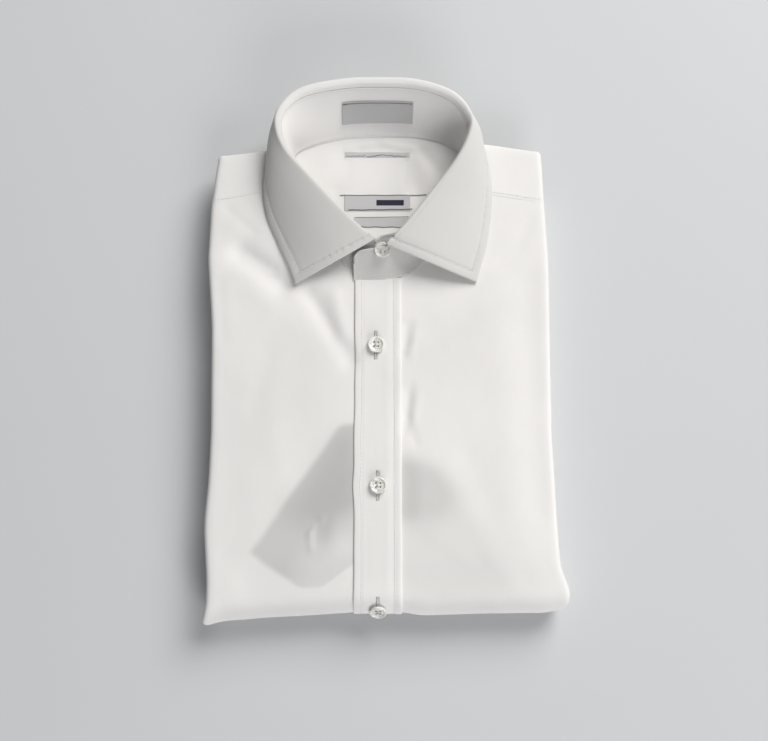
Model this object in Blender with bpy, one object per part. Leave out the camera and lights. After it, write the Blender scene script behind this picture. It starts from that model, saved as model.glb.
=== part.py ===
"""A dress shirt, folded flat and lying front up.

+X is to the right of someone who faces the front, +Y runs towards the collar and +Z is up.
The origin is at the centre of the underside. Sizes are in millimetres and become metres
when a mesh is made. The shirt is folded in half behind, so that its front turns round both
side folds and round the bottom fold on to the underside.
"""

import math
from collections import namedtuple

import bpy
import numpy as np
from mathutils import Matrix

MM = 0.001

# Driving dimensions
CLOTH = 1.2
CLEAR = 0.3
STACK = 28.0
PACK = 13.5
EDGE_R = PACK / 2
FOLD_R = STACK / 2
FOLD_Y = -149.0
UNDER_END = 132.0
UNDER_INSET = 2.0
TUCK = 12.0

PLACKET_LEFT = -17.0
PLACKET_RIGHT = 16.0
PLACKET_WALL = 1.4
PLACKET_RISE = PLACKET_WALL + CLEAR
FRONT_MEET = 10.0
DENT_INNER = 18.6
DENT_OUTER = 21.0

NECK_FRONT_Y = 61.6
NECK_GAP_FRONT = 0.6
NECK_GAP_SIDE = 1.9
NECK_EDGE_LEAST = 9.3
PLACKET_END_Y = 62.8
YOKE_WRAP = math.radians(144)
INNER_YOKE_TOP = 25.1
INNER_YOKE_FRONT_Y = 56.0
INNER_YOKE_HALF = 70.0
INNER_YOKE_UNDER_BAND = 1.2
INNER_YOKE_SIDE_GAP = 1.6
INNER_YOKE_DISH = 1.2
DISH_HALF = 60.0
DISH_START_Y = 70.0
DISH_LENGTH = 97.0
NARROWING_Y = 118.0
NARROWING_RUN = 16.0
NECK_SIDE_TOP_Y = 152.0
CROWN = 0.5
CROWN_HALF = 118.0
FOLD_LINE_FADE = 70.0
YOKE_DEPTH = 26.0
YOKE_NECK_TOP_Y = 150.0
YOKE_NECK_INNER = 62.5
NECK_POINT = (57.0, 157.0)
NECK_DIP = 4.2
NECK_DIP_REACH = 9.0

# Behind the neck the yoke runs on under its inside layer: how far across, and how far down
YOKE_BRIDGE = ((0.03, 2.6), (0.16, 4.4), (0.33, 4.6), (0.5, 4.6), (0.67, 4.6), (0.84, 4.4), (0.97, 2.6))

COLLAR_WALL = 2.0
SEAM_DROP = 5.0
SEAM_GAP = 0.5
ROLL = 1.9
LEAF_BULGE = 2.6

BUTTON_R = 5.7
BUTTON_H = 2.4
BUTTON_RIM = 1.2
BUTTON_EDGE = 0.35
BUTTON_RECESS = 0.7
BUTTON_SIDES = 20
BUTTON_SEAT = 0.25
HOLE_R = 0.65
HOLE_OFFSET = 1.35
HOLE_SIDES = 8

LABEL_WALL = 1.0

# The outline of the top of the folded body, from the shoulder down to the bottom fold
SideRow = namedtuple("SideRow", "y left right")
SIDE_OUTLINE = (
    SideRow(162, 113.0, 114.0),
    SideRow(150, 116.0, 115.2),
    SideRow(122, 119.0, 116.0),
    SideRow(78, 119.6, 117.6),
    SideRow(28, 115.2, 116.8),
    SideRow(-46, 113.4, 115.6),
    SideRow(-78, 113.8, 116.6),
    SideRow(-104, 115.8, 117.2),
    SideRow(-135, 112.8, 118.4),
    SideRow(-152, 112.8, 124.4),
    SideRow(-166, 117.0, 123.0),
)

# How far the bottom fold lies below its middle, across the width
BottomRow = namedtuple("BottomRow", "x shift")
BOTTOM_LINE = (
    BottomRow(-118, -9.5),
    BottomRow(-104, -5.0),
    BottomRow(-78, -3.0),
    BottomRow(-33, -0.4),
    BottomRow(-17, 0.6),
    BottomRow(16, 0.6),
    BottomRow(27, -1.2),
    BottomRow(66, 0.0),
    BottomRow(108, 0.4),
    BottomRow(118, 2.5),
)

# The shoulder edge and the sloping seam between yoke and front
ShoulderRow = namedtuple("ShoulderRow", "x edge_y")
SHOULDER = (
    ShoulderRow(-116, 153.5),
    ShoulderRow(-80, 158.0),
    ShoulderRow(-60, 161.5),
    ShoulderRow(60, 164.0),
    ShoulderRow(78, 162.4),
    ShoulderRow(116, 156.5),
)
YOKE_SEAM_NECK_Y = 126.5
YOKE_SEAM_DROP = 9.0
YOKE_NECK_X = 64.0

# Soft creases of the front: a line, the crease's half width, and its height (a trough is below zero)
Crease = namedtuple("Crease", "x0 y0 x1 y1 half height")
CREASES = (
    Crease(-100, 86, -72, 66, 13, -1.3),
    Crease(-96, 104, -60, 84, 12, 0.7),
    Crease(-48, 49, -25, 9, 11, -1.0),
    Crease(-40, 20, -30, -40, 18, 0.6),
    Crease(24, 30, 21, 10, 6, -0.8),
    Crease(27, -14, 24, -52, 7, -0.9),
    Crease(102, 56, 104, -92, 12, -1.0),
    Crease(84, 20, 92, -120, 16, 0.6),
    Crease(-104, -20, -96, -110, 14, -0.6),
    Crease(-84, -141, 92, -141, 9, -0.7),
)

# The collar, station by station from its left front round the back to its right front: where the
# band meets the neckline, where the leaf folds over the band, and the leaf's outer edge
Station = namedtuple("Station", "base_x base_y base_z fold_x fold_y fold_z edge_x edge_y edge_z")
COLLAR = (
    Station(-3, 64.0, 29.8, -3, 87.6, 40.6, -57.8, 58.0, 30.6),
    Station(-19, 67.5, 29.8, -12, 93.0, 42.0, -62.4, 70.5, 30.4),
    Station(-37, 82.0, 29.6, -28, 108.0, 45.4, -69.6, 86.5, 30.4),
    Station(-51, 102.0, 29.2, -48, 129.4, 49.0, -77.8, 107.5, 30.2),
    Station(-59.5, 124.0, 28.4, -64, 149.0, 51.5, -80.6, 130.0, 30.2),
    Station(-61.5, 142.0, 27.6, -69.6, 168.0, 52.0, -75.4, 154.0, 29.2),
    Station(-59.5, 154.0, 27.0, -65.0, 181.2, 52.4, -68.0, 177.0, 17.0),
    Station(-45, 162.0, 26.6, -51.8, 191.4, 52.8, -55.5, 187.6, 13.4),
    Station(-24, 166.8, 26.4, -24.1, 197.1, 53.0, -25.5, 192.4, 12.6),
    Station(0, 168.0, 26.4, 0.2, 198.0, 53.0, 0.0, 193.4, 12.4),
    Station(26, 167.4, 26.4, 27.0, 196.3, 53.0, 28.0, 191.6, 12.6),
    Station(45, 163.0, 26.6, 50.0, 187.6, 52.8, 54.0, 184.0, 13.4),
    Station(57, 155.0, 27.0, 61.0, 172.5, 52.4, 68.5, 172.0, 17.5),
    Station(60.5, 142.0, 27.6, 60.6, 160.0, 52.0, 73.0, 156.0, 29.8),
    Station(59, 123.0, 28.6, 52.0, 141.4, 50.4, 77.4, 133.0, 30.0),
    Station(50, 101.0, 29.4, 34.5, 118.3, 47.0, 77.6, 112.0, 30.2),
    Station(36, 81.0, 30.6, 19.0, 99.0, 44.0, 73.6, 87.0, 30.6),
    Station(19, 67.4, 31.8, 8.6, 91.0, 43.6, 69.4, 70.5, 30.8),
    Station(3, 63.0, 32.4, 4.4, 86.6, 43.6, 65.6, 56.7, 31.0),
)
COLLAR_STEPS = 52

# The two ends of the band pass each other under the collar button
TabEnd = namedtuple("TabEnd", "base_x base_y base_z top_x top_y top_z")
UNDER_TAB = TabEnd(13, 65.2, 29.6, 12, 80.0, 35.6)
OVER_TAB = TabEnd(-16.6, 62.4, 32.2, -16.2, 77.6, 38.0)
TAB_CORNER = 5.5

# Labels: edges of the two on the inner yoke, and the share of the band's height that the third takes
LABEL_MAIN = dict(x0=-25.0, x1=21.5, y0=112.8, y1=157.0)
LABEL_FIT = dict(x0=-18.0, x1=21.5, y0=100.6, y1=108.6)
LABEL_BAND_LOW = 0.30
LABEL_BAND_HIGH = 0.74
LABEL_BAND_MIDDLE = -2.5
LABEL_BAND_REACH = 0.055
LABEL_GAP = CLEAR + 0.1

BUTTON_TOP_AT = (-2.4, 14.7)
BUTTON_MIDDLE_AT = (-0.9, -80.5)
BUTTON_FOLD_X = -0.8
BUTTON_FOLD_TURN = math.radians(55)
BUTTON_COLLAR_X = 1.6
BUTTON_COLLAR_UP = 0.80


def smooth(t):
    """A soft step from 0 to 1."""
    t = min(max(t, 0.0), 1.0)
    return t * t * (3 - 2 * t)


def table(rows, column, key, at, soften=5.0):
    """A column of a table read at a place along its key column, with the corners softened."""
    keys = [getattr(row, key) for row in rows]
    values = [getattr(row, column) for row in rows]
    if keys[0] > keys[-1]:
        keys.reverse()
        values.reverse()
    probes = (at - soften, at - soften / 2, at, at + soften / 2, at + soften)
    return float(np.mean(np.interp(probes, keys, values)))


def through(points, t):
    """A smooth curve through a row of points, read at t from 0 to 1."""
    last = len(points) - 1
    place = min(max(t, 0.0), 1.0) * last
    i = min(int(place), last - 1)
    f = place - i
    a, b, c, d = (points[min(max(k, 0), last)] for k in (i - 1, i, i + 1, i + 2))
    square = (2 * a - 5 * b + 4 * c - d) * f ** 2
    cube = (3 * b - a - 3 * c + d) * f ** 3
    return 0.5 * (2 * b + (c - a) * f + square + cube)


def unit(v):
    return v / np.linalg.norm(v)


COLLAR_POINTS = [np.array(station, dtype=float) for station in COLLAR]


def collar_at(t):
    """Base, fold and outer edge of the collar at t, from 0 at the left front to 1 at the right front."""
    row = through(COLLAR_POINTS, t)
    return row[0:3], row[3:6], row[6:9]


def band_top(t):
    """The seam between band and leaf, a little below the fold on the inside."""
    base, fold, _ = collar_at(t)
    return fold - unit(fold - base) * SEAM_DROP


def neckline(side):
    """The cut edge of the front and yoke on one side, as y and distance from the middle."""
    steps = np.linspace(0.0, 0.42, 60) if side < 0 else np.linspace(1.0, 0.58, 60)
    ys = []
    xs = []
    for t in steps:
        base = collar_at(t)[0]
        ahead = collar_at(t + (0.004 if side < 0 else -0.004))[0]
        along = unit((ahead - base)[:2])
        outward = np.array((-along[1], along[0])) * (1 if side < 0 else -1)
        from_front = t if side < 0 else 1 - t
        gap = NECK_GAP_FRONT + (NECK_GAP_SIDE - NECK_GAP_FRONT) * smooth((from_front - 0.1) / 0.12)
        place = base[:2] + outward * gap
        ys.append(place[1])
        xs.append(place[0] * side)
    order = np.argsort(ys)
    return np.array(ys)[order], np.array(xs)[order]


NECKLINES = {-1: neckline(-1), 1: neckline(1)}


def neck_x(side, y):
    ys, xs = NECKLINES[side]
    return float(np.interp(y, ys, xs))


def shoulder_y(x):
    return table(SHOULDER, "edge_y", "x", x)


def yoke_seam_y(side, c):
    """The seam between yoke and front at a distance c from the middle."""
    run = (c - YOKE_NECK_X) / (SIDE_OUTLINE[2].left - YOKE_NECK_X)
    return YOKE_SEAM_NECK_Y - YOKE_SEAM_DROP * min(max(run, 0.0), 1.0)


def relief(x, y):
    """Height of the soft creases and of the stack's slight crown above the flat top."""
    height = CROWN * math.cos(x / CROWN_HALF * math.pi / 2)
    for crease in CREASES:
        dx = crease.x1 - crease.x0
        dy = crease.y1 - crease.y0
        along = ((x - crease.x0) * dx + (y - crease.y0) * dy) / (dx * dx + dy * dy)
        near = min(max(along, 0.0), 1.0)
        away = math.hypot(x - crease.x0 - near * dx, y - crease.y0 - near * dy)
        height += crease.height * math.exp(-(away / crease.half) ** 2)
    return height


def fold_frame(s):
    """Place and outward direction, in the YZ plane, at a distance s above the start of the bottom fold."""
    if s >= 0:
        return FOLD_Y + s, STACK, 0.0, 1.0
    turn = -s / FOLD_R
    if turn <= math.pi:
        across = math.sin(turn)
        up = math.cos(turn)
        return FOLD_Y - FOLD_R * across, FOLD_R * (1 + up), -across, up
    return FOLD_Y + (turn - math.pi) * FOLD_R, 0.0, 0.0, -1.0


def under_share(s):
    """0 on the top, 1 on the underside."""
    return smooth((-s / FOLD_R - math.pi * 0.35) / (math.pi * 0.6))


def half_width(side, s):
    y = fold_frame(s)[0]
    return table(SIDE_OUTLINE, "left" if side < 0 else "right", "y", y) - UNDER_INSET * under_share(s)


def near_fold(s):
    if s >= 0:
        return smooth(1 - s / FOLD_LINE_FADE)
    return smooth(1 - max(-s - math.pi * FOLD_R, 0) / FOLD_LINE_FADE)


def skin(side, s, c, turn=0.0, tuck=0.0, out=0.0):
    """A point of the body's outer face.

    c is the distance from the middle, turn the angle round the side fold and tuck the
    distance back in behind it. out moves the point outwards.
    """
    y, z, ny, nz = fold_frame(s)
    x = side * (c + EDGE_R * math.sin(turn) - tuck)
    depth = EDGE_R * (1 - math.cos(turn))
    top = 1 - smooth(-s / (FOLD_R * 1.2))
    lift = relief(x, y) * top * max(math.cos(turn / 2), 0.0)
    dent = PLACKET_RISE * smooth((DENT_OUTER - abs(x)) / (DENT_OUTER - DENT_INNER)) * under_share(s)
    level = out + lift - depth - dent
    y += table(BOTTOM_LINE, "shift", "x", x) * near_fold(s)
    return (x, y + ny * level, z + nz * level)


def make_object(name, vertices, faces, colour, roughness, smooth_angle=35):
    mesh = bpy.data.meshes.new(name)
    mesh.from_pydata([tuple(c * MM for c in v) for v in vertices], [], faces)
    mesh.shade_smooth()
    mesh.set_sharp_from_angle(angle=math.radians(smooth_angle))
    material = bpy.data.materials.new(name)
    material.use_nodes = True
    shader = material.node_tree.nodes["Principled BSDF"]
    shader.inputs["Base Color"].default_value = (*colour, 1.0)
    shader.inputs["Roughness"].default_value = roughness
    shader.inputs["Metallic"].default_value = 0.0
    mesh.materials.append(material)
    thing = bpy.data.objects.new(name, mesh)
    bpy.context.collection.objects.link(thing)
    return thing


def grid_faces(rows, columns, flip=False, skip=()):
    faces = []
    for i in range(rows - 1):
        for j in range(columns - 1):
            if (i, j) in skip:
                continue
            a = i * columns + j
            face = (a, a + 1, a + columns + 1, a + columns)
            faces.append(face[::-1] if flip else face)
    return faces


def make_wall(name, rows, wall, offset, colour, roughness=0.85, flip=False):
    """A sheet through rows of points, made solid. offset is -1 to grow inwards and 1 to grow outwards."""
    columns = len(rows[0])
    vertices = [point for row in rows for point in row]
    thing = make_object(name, vertices, grid_faces(len(rows), columns, flip), colour, roughness)
    solid = thing.modifiers.new("Wall", "SOLIDIFY")
    solid.thickness = wall * MM
    solid.offset = offset
    solid.use_even_offset = True
    solid.use_quality_normals = True
    return thing


WHITE = (0.87, 0.86, 0.85)
LABEL_GREY = (0.50, 0.48, 0.47)
PEARL = (0.80, 0.78, 0.70)

BODY_ROWS = (50, 39, 27, 14, 0, -15, -30, -46, -62, -78, -94, -110, -124, -137)
NECK_ROWS = (1.0, 0.83, 0.66, 0.50, 0.35, 0.22, 0.12, 0.05)
FOLD_TURNS = 8
UNDER_ROWS = (-130, -100, -62, -24, 14, 52, 88, 112, UNDER_END)
SIDE_TURNS = 5
FRONT_COLUMNS = 7


def path_rows():
    """Distances along the front, from the collar round the bottom fold to the underside's end."""
    rows = [NECK_FRONT_Y - FOLD_Y]
    rows += [y - FOLD_Y for y in BODY_ROWS]
    rows += [-FOLD_R * math.pi * k / FOLD_TURNS for k in range(FOLD_TURNS + 1)]
    rows += [-FOLD_R * math.pi - (y - FOLD_Y) for y in UNDER_ROWS]
    return rows


def panel_row(side, s_of, inner, flat_end, steps):
    """One row of a front panel, from its inner edge round the side fold."""
    if inner < DENT_INNER:
        columns = [inner, DENT_INNER, DENT_OUTER]
        columns += [DENT_OUTER + (flat_end - DENT_OUTER) * k / (steps - 2) for k in range(1, steps - 1)]
    else:
        columns = [inner + (flat_end - inner) * k / steps for k in range(steps + 1)]
    row = [skin(side, s_of(c), c) for c in columns]
    s_side = s_of(flat_end)
    row += [skin(side, s_side, flat_end, turn=math.pi * k / SIDE_TURNS) for k in range(1, SIDE_TURNS + 1)]
    row.append(skin(side, s_side, flat_end, turn=math.pi, tuck=TUCK))
    return row


def front_panel(name, side, inner):
    """A front: above the neck's lowest point it stops at the neckline, and below it runs past the middle."""
    steps = FRONT_COLUMNS
    rows = []
    for share in NECK_ROWS:
        neck_y = NECK_FRONT_Y + (YOKE_SEAM_NECK_Y - NECK_FRONT_Y) * share - CLEAR / 2
        edge = max(neck_x(side, neck_y), NECK_EDGE_LEAST)
        end = half_width(side, neck_y - FOLD_Y) - EDGE_R

        def s_of(c, neck_y=neck_y, share=share):
            drop = YOKE_SEAM_NECK_Y - yoke_seam_y(side, c)
            return neck_y - drop * smooth(share) - FOLD_Y

        first = [edge + (end - edge) * k / steps for k in range(steps + 1)]
        row = [skin(side, s_of(c), c) for c in first]
        row += [skin(side, s_of(end), end, turn=math.pi * k / SIDE_TURNS) for k in range(1, SIDE_TURNS + 1)]
        row.append(skin(side, s_of(end), end, turn=math.pi, tuck=TUCK))
        rows.append(row)
    for s in path_rows():
        end = half_width(side, s) - EDGE_R
        rows.append(panel_row(side, lambda c, s=s: s, inner, end, steps))
    return make_wall(name, rows, CLOTH, -1, WHITE, flip=side > 0)


def placket():
    """The buttonhole strip, on the fronts and flush with them on the underside."""
    columns = (PLACKET_LEFT, -6.0, 5.0, PLACKET_RIGHT)
    rows = []
    for s in [PLACKET_END_Y - FOLD_Y, *path_rows()[1:]]:
        rows.append([skin(1, s, x, out=CLEAR) if x > 0 else skin(-1, s, -x, out=CLEAR) for x in columns])
    return make_wall("placket", rows, PLACKET_WALL, 1, WHITE, flip=True)


def yoke_half(side):
    """One shoulder of the yoke: flat, then turned round the side and over the shoulder."""
    flat_columns = 4
    flat_rows = 3
    turns = 4
    rows = []
    for j in range(flat_rows + turns + 1):
        over = YOKE_WRAP * max(j - flat_rows, 0) / turns
        row = []
        for i in range(flat_columns + turns + 1):
            round_side = YOKE_WRAP * max(i - flat_columns, 0) / turns
            up = min(j, flat_rows) / flat_rows
            in_out = min(i, flat_columns) / flat_columns
            rough_y = YOKE_SEAM_NECK_Y + up * YOKE_DEPTH
            inner = neck_x(side, min(rough_y, YOKE_NECK_TOP_Y)) if up < 1 else YOKE_NECK_INNER
            end = half_width(side, rough_y - FOLD_Y) - EDGE_R
            c = inner + (end - inner) * in_out
            low = yoke_seam_y(side, c) + CLEAR / 2
            high = shoulder_y(side * c) - EDGE_R
            y = low + (high - low) * up
            steep = max(round_side, over)
            if steep > 0:
                smaller = min(round_side, over) / steep
                swing = math.pi / 4 * smaller
                swing = swing if round_side >= over else math.pi / 2 - swing
            else:
                swing = 0.0
            reach = EDGE_R * math.sin(steep)
            away = math.hypot(c - NECK_POINT[0], y - NECK_POINT[1])
            dip = NECK_DIP * math.exp(-(away / NECK_DIP_REACH) ** 2)
            lift = (relief(side * c, y) - dip) * max(math.cos(steep / 2), 0.0)
            drop = EDGE_R * (1 - math.cos(steep))
            x = side * (c + reach * math.cos(swing))
            row.append((x, y + reach * math.sin(swing), STACK + lift - drop))
        rows.append(row)
    return rows


def yoke():
    """Both shoulders, joined by the strip that runs behind the neck under the band."""
    vertices = []
    faces = []
    ends = {}
    for side in (-1, 1):
        rows = yoke_half(side)
        start = len(vertices)
        columns = len(rows[0])
        vertices += [point for row in rows for point in row]
        for face in grid_faces(len(rows), columns, flip=side < 0):
            faces.append(tuple(start + k for k in face))
        ends[side] = [start + (len(rows) - 1 - k) * columns for k in range(4, -1, -1)]
    previous = ends[-1]
    for share, sink in YOKE_BRIDGE:
        current = []
        for left, right in zip(ends[-1], ends[1]):
            a = np.array(vertices[left])
            b = np.array(vertices[right])
            middle = a + (b - a) * share
            deep = (STACK - middle[2]) / (2 * EDGE_R)
            middle[2] -= sink * max(1 - deep, 0.0)
            current.append(len(vertices))
            vertices.append(tuple(middle))
        for i in range(len(current) - 1):
            faces.append((previous[i], current[i], current[i + 1], previous[i + 1]))
        previous = current
    for i in range(len(previous) - 1):
        faces.append((previous[i], ends[1][i], ends[1][i + 1], previous[i + 1]))
    thing = make_object("yoke", vertices, faces, WHITE, 0.85)
    solid = thing.modifiers.new("Wall", "SOLIDIFY")
    solid.thickness = CLOTH * MM
    solid.offset = -1
    solid.use_even_offset = True
    return thing


def back_neck_y(x):
    """The back edge of the inner yoke, just under the band's lower edge."""
    best = min((collar_at(t)[0] for t in np.linspace(0.32, 0.72, 161)), key=lambda base: abs(base[0] - x))
    return float(best[1]) + INNER_YOKE_UNDER_BAND


def inner_yoke_z(x, y):
    """The inner yoke's upper face: a shallow dish that rises to the neck seam."""
    across = math.cos(min(abs(x) / DISH_HALF, 1) * math.pi / 2)
    along = math.sin(min(max((y - DISH_START_Y) / DISH_LENGTH, 0), 1) * math.pi)
    return INNER_YOKE_TOP - INNER_YOKE_DISH * across * along


def inner_yoke_half(side, y):
    """Half the inner yoke's width: plain under the fronts, then along the neckline."""
    along_neck = neck_x(side, min(y, NECK_SIDE_TOP_Y)) - INNER_YOKE_SIDE_GAP
    return INNER_YOKE_HALF + (along_neck - INNER_YOKE_HALF) * smooth((y - NARROWING_Y) / NARROWING_RUN)


def inner_yoke():
    rows = []
    run = back_neck_y(0.0) - INNER_YOKE_FRONT_Y
    for k in range(11):
        share = k / 10
        level_y = INNER_YOKE_FRONT_Y + share * run
        row = []
        for i in range(11):
            across = i / 10 * 2 - 1
            x = across * inner_yoke_half(1 if across > 0 else -1, level_y)
            y = INNER_YOKE_FRONT_Y + share * (back_neck_y(x) - INNER_YOKE_FRONT_Y)
            row.append((x, y, inner_yoke_z(x, y)))
        rows.append(row)
    return make_wall("inner_yoke", rows, CLOTH, -1, WHITE)


def band_pairs():
    """Lower and upper edge of the band, from its end underneath round to its end on top."""
    pairs = []
    first_base, first_top = collar_at(0.0)[0], band_top(0.0)
    last_base, last_top = collar_at(1.0)[0], band_top(1.0)
    under_base, under_top = np.array(UNDER_TAB[:3]), np.array(UNDER_TAB[3:])
    over_base, over_top = np.array(OVER_TAB[:3]), np.array(OVER_TAB[3:])
    for share in (1.0, 0.5):
        base = first_base + (under_base - first_base) * share
        pairs.append((base, first_top + (under_top - first_top) * share))
    for k in range(COLLAR_STEPS + 1):
        t = k / COLLAR_STEPS
        pairs.append((collar_at(t)[0], band_top(t)))
    length = float(np.linalg.norm(over_base - last_base))
    for left in (0.7 * length, TAB_CORNER, 4.0, 2.4, 1.2, 0.3, 0.0):
        share = 1 - left / length
        base = last_base + (over_base - last_base) * share
        top = last_top + (over_top - last_top) * share
        cut = TAB_CORNER - math.sqrt(max(TAB_CORNER ** 2 - max(TAB_CORNER - left, 0) ** 2, 0))
        height = float(np.linalg.norm(top - base))
        pairs.append((base, base + (top - base) * (1 - cut / height)))
    return pairs


def collar_band():
    rows = []
    for base, top in band_pairs():
        rows.append([tuple(base + (top - base) * k / 3) for k in range(4)])
    return make_wall("collar_band", rows, COLLAR_WALL, 0, WHITE)


def band_normal(t):
    """Outward direction of the band's outer face."""
    base, fold, _ = collar_at(t)
    before = collar_at(max(t - 0.01, 0.0))[1]
    after = collar_at(min(t + 0.01, 1.0))[1]
    return unit(np.cross(unit(fold - base), unit(after - before)))


def leaf_section(t):
    """The leaf from its seam on the band, over the fold and down to its outer edge."""
    base, fold, edge = collar_at(t)
    rise = unit(fold - base)
    out = band_normal(t)
    seam = fold - rise * (SEAM_DROP - SEAM_GAP)
    inside = fold - rise * ROLL
    crest = fold + out * ROLL + rise * ROLL * 0.3
    outside = fold + out * ROLL * 2 - rise * ROLL
    run = edge - outside
    swell = unit(np.cross(np.cross(run, out), run))
    parts = [seam, inside, crest, outside]
    for share in (0.33, 0.66):
        parts.append(outside + run * share + swell * LEAF_BULGE * math.sin(math.pi * share))
    parts.append(edge)
    return parts


LEAF_PLACES = (0.0, 0.14, 0.26, 0.34, 0.42, 0.50, 0.62, 0.74, 0.87, 1.0)


def collar_leaf():
    rows = []
    for k in range(COLLAR_STEPS + 1):
        parts = leaf_section(k / COLLAR_STEPS)
        rows.append([tuple(through(parts, place)) for place in LEAF_PLACES])
    return make_wall("collar_leaf", rows, COLLAR_WALL, 0, WHITE)


# The hidden layers: their heights, and where each ends towards the shoulders
Layer = namedtuple("Layer", "low high end_y")
LAYERS = (
    Layer(3.2, 6.2, 127.0),
    Layer(6.5, 9.6, 140.0),
    Layer(9.9, 12.0, 133.0),
    Layer(16.0, 18.6, 147.5),
    Layer(18.9, 22.5, 144.0),
    Layer(22.8, 25.3, 45.0),
)
WAIST_INSET = 26.0
WAIST_HALF = 1.6
LAYER_CLEAR = 2.1
LAYER_ROOM = EDGE_R - CLOTH - 0.6
LAYER_EDGE = 0.5
LAYER_CORNER = 9.0
LAYER_CHAMFER = 2.6
LAYER_FRONT = FOLD_R - CLOTH - 2.5
LAYER_FRONT_SHARE = 0.55
LAYER_NECK_OUT = 52.0
LAYER_NECK_IN = 40.0
LAYER_NECK_RISE = 9.0
LAYER_SPLIT_Y = 30.0
LAYER_LOW_STEPS = 6
GROOVE = 1.4
GROOVE_SETBACK = 1.5
WAIST_SETBACK = 6.0


def layer_inset(z):
    """How far the hidden layers stay inside the side folds at a height."""
    if abs(z - FOLD_R) < WAIST_HALF + LAYER_EDGE:
        return WAIST_INSET
    middle = EDGE_R if z < FOLD_R else STACK - EDGE_R
    level = min(abs(z - middle), LAYER_ROOM)
    return EDGE_R - math.sqrt(LAYER_ROOM ** 2 - level ** 2) + LAYER_CLEAR


def layer_ring(z, end_y, groove):
    """The outline of the hidden layers at a height, anticlockwise from the lower right."""
    inset = layer_inset(z) + groove
    reach = math.sqrt(max(LAYER_FRONT ** 2 - (z - FOLD_R) ** 2, 0)) * LAYER_FRONT_SHARE
    low_y = FOLD_Y - reach + groove
    high_y = end_y - groove
    first = low_y + LAYER_CORNER
    last = high_y - LAYER_CORNER
    places = [first + (LAYER_SPLIT_Y - first) * k / LAYER_LOW_STEPS for k in range(LAYER_LOW_STEPS)]
    places += [LAYER_SPLIT_Y, (LAYER_SPLIT_Y + last) / 2, last]
    ring = []
    for side in (1, -1):
        run = []
        for y in places:
            s = y - FOLD_Y
            around = (s, -math.pi * FOLD_R / 2, -math.pi * FOLD_R - max(s, 0))
            wide = min(half_width(side, place) for place in around)
            run.append((side * (wide - inset), y))
        low_x = abs(run[0][0])
        high_x = abs(run[-1][0])
        full = [
            (side * (low_x - LAYER_CORNER), low_y),
            (side * (low_x - LAYER_CHAMFER), low_y + LAYER_CHAMFER),
            *run,
            (side * (high_x - LAYER_CHAMFER), high_y - LAYER_CHAMFER),
            (side * (high_x - LAYER_CORNER), high_y),
            (side * LAYER_NECK_OUT, high_y),
            (side * LAYER_NECK_IN, high_y + (LAYER_NECK_RISE if z > FOLD_R else 0.0)),
        ]
        ring += full if side > 0 else full[::-1]
    return [(x, y, z) for x, y in ring]


def folded_layers():
    """Back, sides, sleeves and tail as one solid, grooved between its layers and waisted at the half fold."""
    rings = []
    previous = None
    for layer in LAYERS:
        if previous is not None:
            end = min(previous.end_y, layer.end_y)
            if layer.low - previous.high > WAIST_HALF:
                rings.append(layer_ring(FOLD_R - WAIST_HALF, end - WAIST_SETBACK, 0.0))
                rings.append(layer_ring(FOLD_R + WAIST_HALF, end - WAIST_SETBACK, 0.0))
            else:
                rings.append(layer_ring((previous.high + layer.low) / 2, end - GROOVE_SETBACK, GROOVE))
        rings.append(layer_ring(layer.low, layer.end_y, LAYER_EDGE))
        rings.append(layer_ring((layer.low + layer.high) / 2, layer.end_y, 0.0))
        rings.append(layer_ring(layer.high, layer.end_y, LAYER_EDGE))
        previous = layer
    count = len(rings[0])
    vertices = [point for ring in rings for point in ring]
    faces = [tuple(range(count))[::-1]]
    for i in range(len(rings) - 1):
        for j in range(count):
            a = i * count + j
            b = i * count + (j + 1) % count
            faces.append((a, b, b + count, a + count))
    last = (len(rings) - 1) * count
    faces.append(tuple(range(last, last + count)))
    return make_object("folded_layers", vertices, faces, WHITE, 0.9)


def button(name, at, normal, along=(1.0, 0.0, 0.0)):
    """A turned button with a rim, a shallow hollow and four holes."""
    floor = BUTTON_H - BUTTON_RECESS
    profile = (
        (0.0, 0.0),
        (BUTTON_R * 0.72, 0.0),
        (BUTTON_R * 0.93, BUTTON_H * 0.25),
        (BUTTON_R, BUTTON_H * 0.6),
        (BUTTON_R - BUTTON_EDGE, BUTTON_H),
        (BUTTON_R - BUTTON_RIM, BUTTON_H),
        (BUTTON_R - BUTTON_RIM - BUTTON_RECESS, floor),
        (0.0, floor),
    )
    segments = BUTTON_SIDES
    vertices = [(0.0, 0.0, 0.0)]
    for radius, height in profile[1:-1]:
        for k in range(segments):
            angle = 2 * math.pi * k / segments
            vertices.append((radius * math.cos(angle), radius * math.sin(angle), height))
    vertices.append((0.0, 0.0, profile[-1][1]))
    faces = []
    rings = len(profile) - 2
    for k in range(segments):
        after = (k + 1) % segments
        faces.append((0, 1 + after, 1 + k))
        for ring in range(rings - 1):
            a = 1 + ring * segments
            faces.append((a + k, a + after, a + segments + after, a + segments + k))
        top = 1 + (rings - 1) * segments
        faces.append((top + k, top + after, len(vertices) - 1))
    thing = make_object(name, vertices, faces, PEARL, 0.25)
    for index, (dx, dy) in enumerate(((1, 1), (-1, 1), (-1, -1), (1, -1))):
        cutter = hole_cutter(f"{name}_hole_{index}", dx * HOLE_OFFSET, dy * HOLE_OFFSET)
        cutter.parent = thing
        cut = thing.modifiers.new("Hole", "BOOLEAN")
        cut.operation = "DIFFERENCE"
        cut.solver = "EXACT"
        cut.object = cutter
    place(thing, at, normal, along)
    return thing


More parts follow.
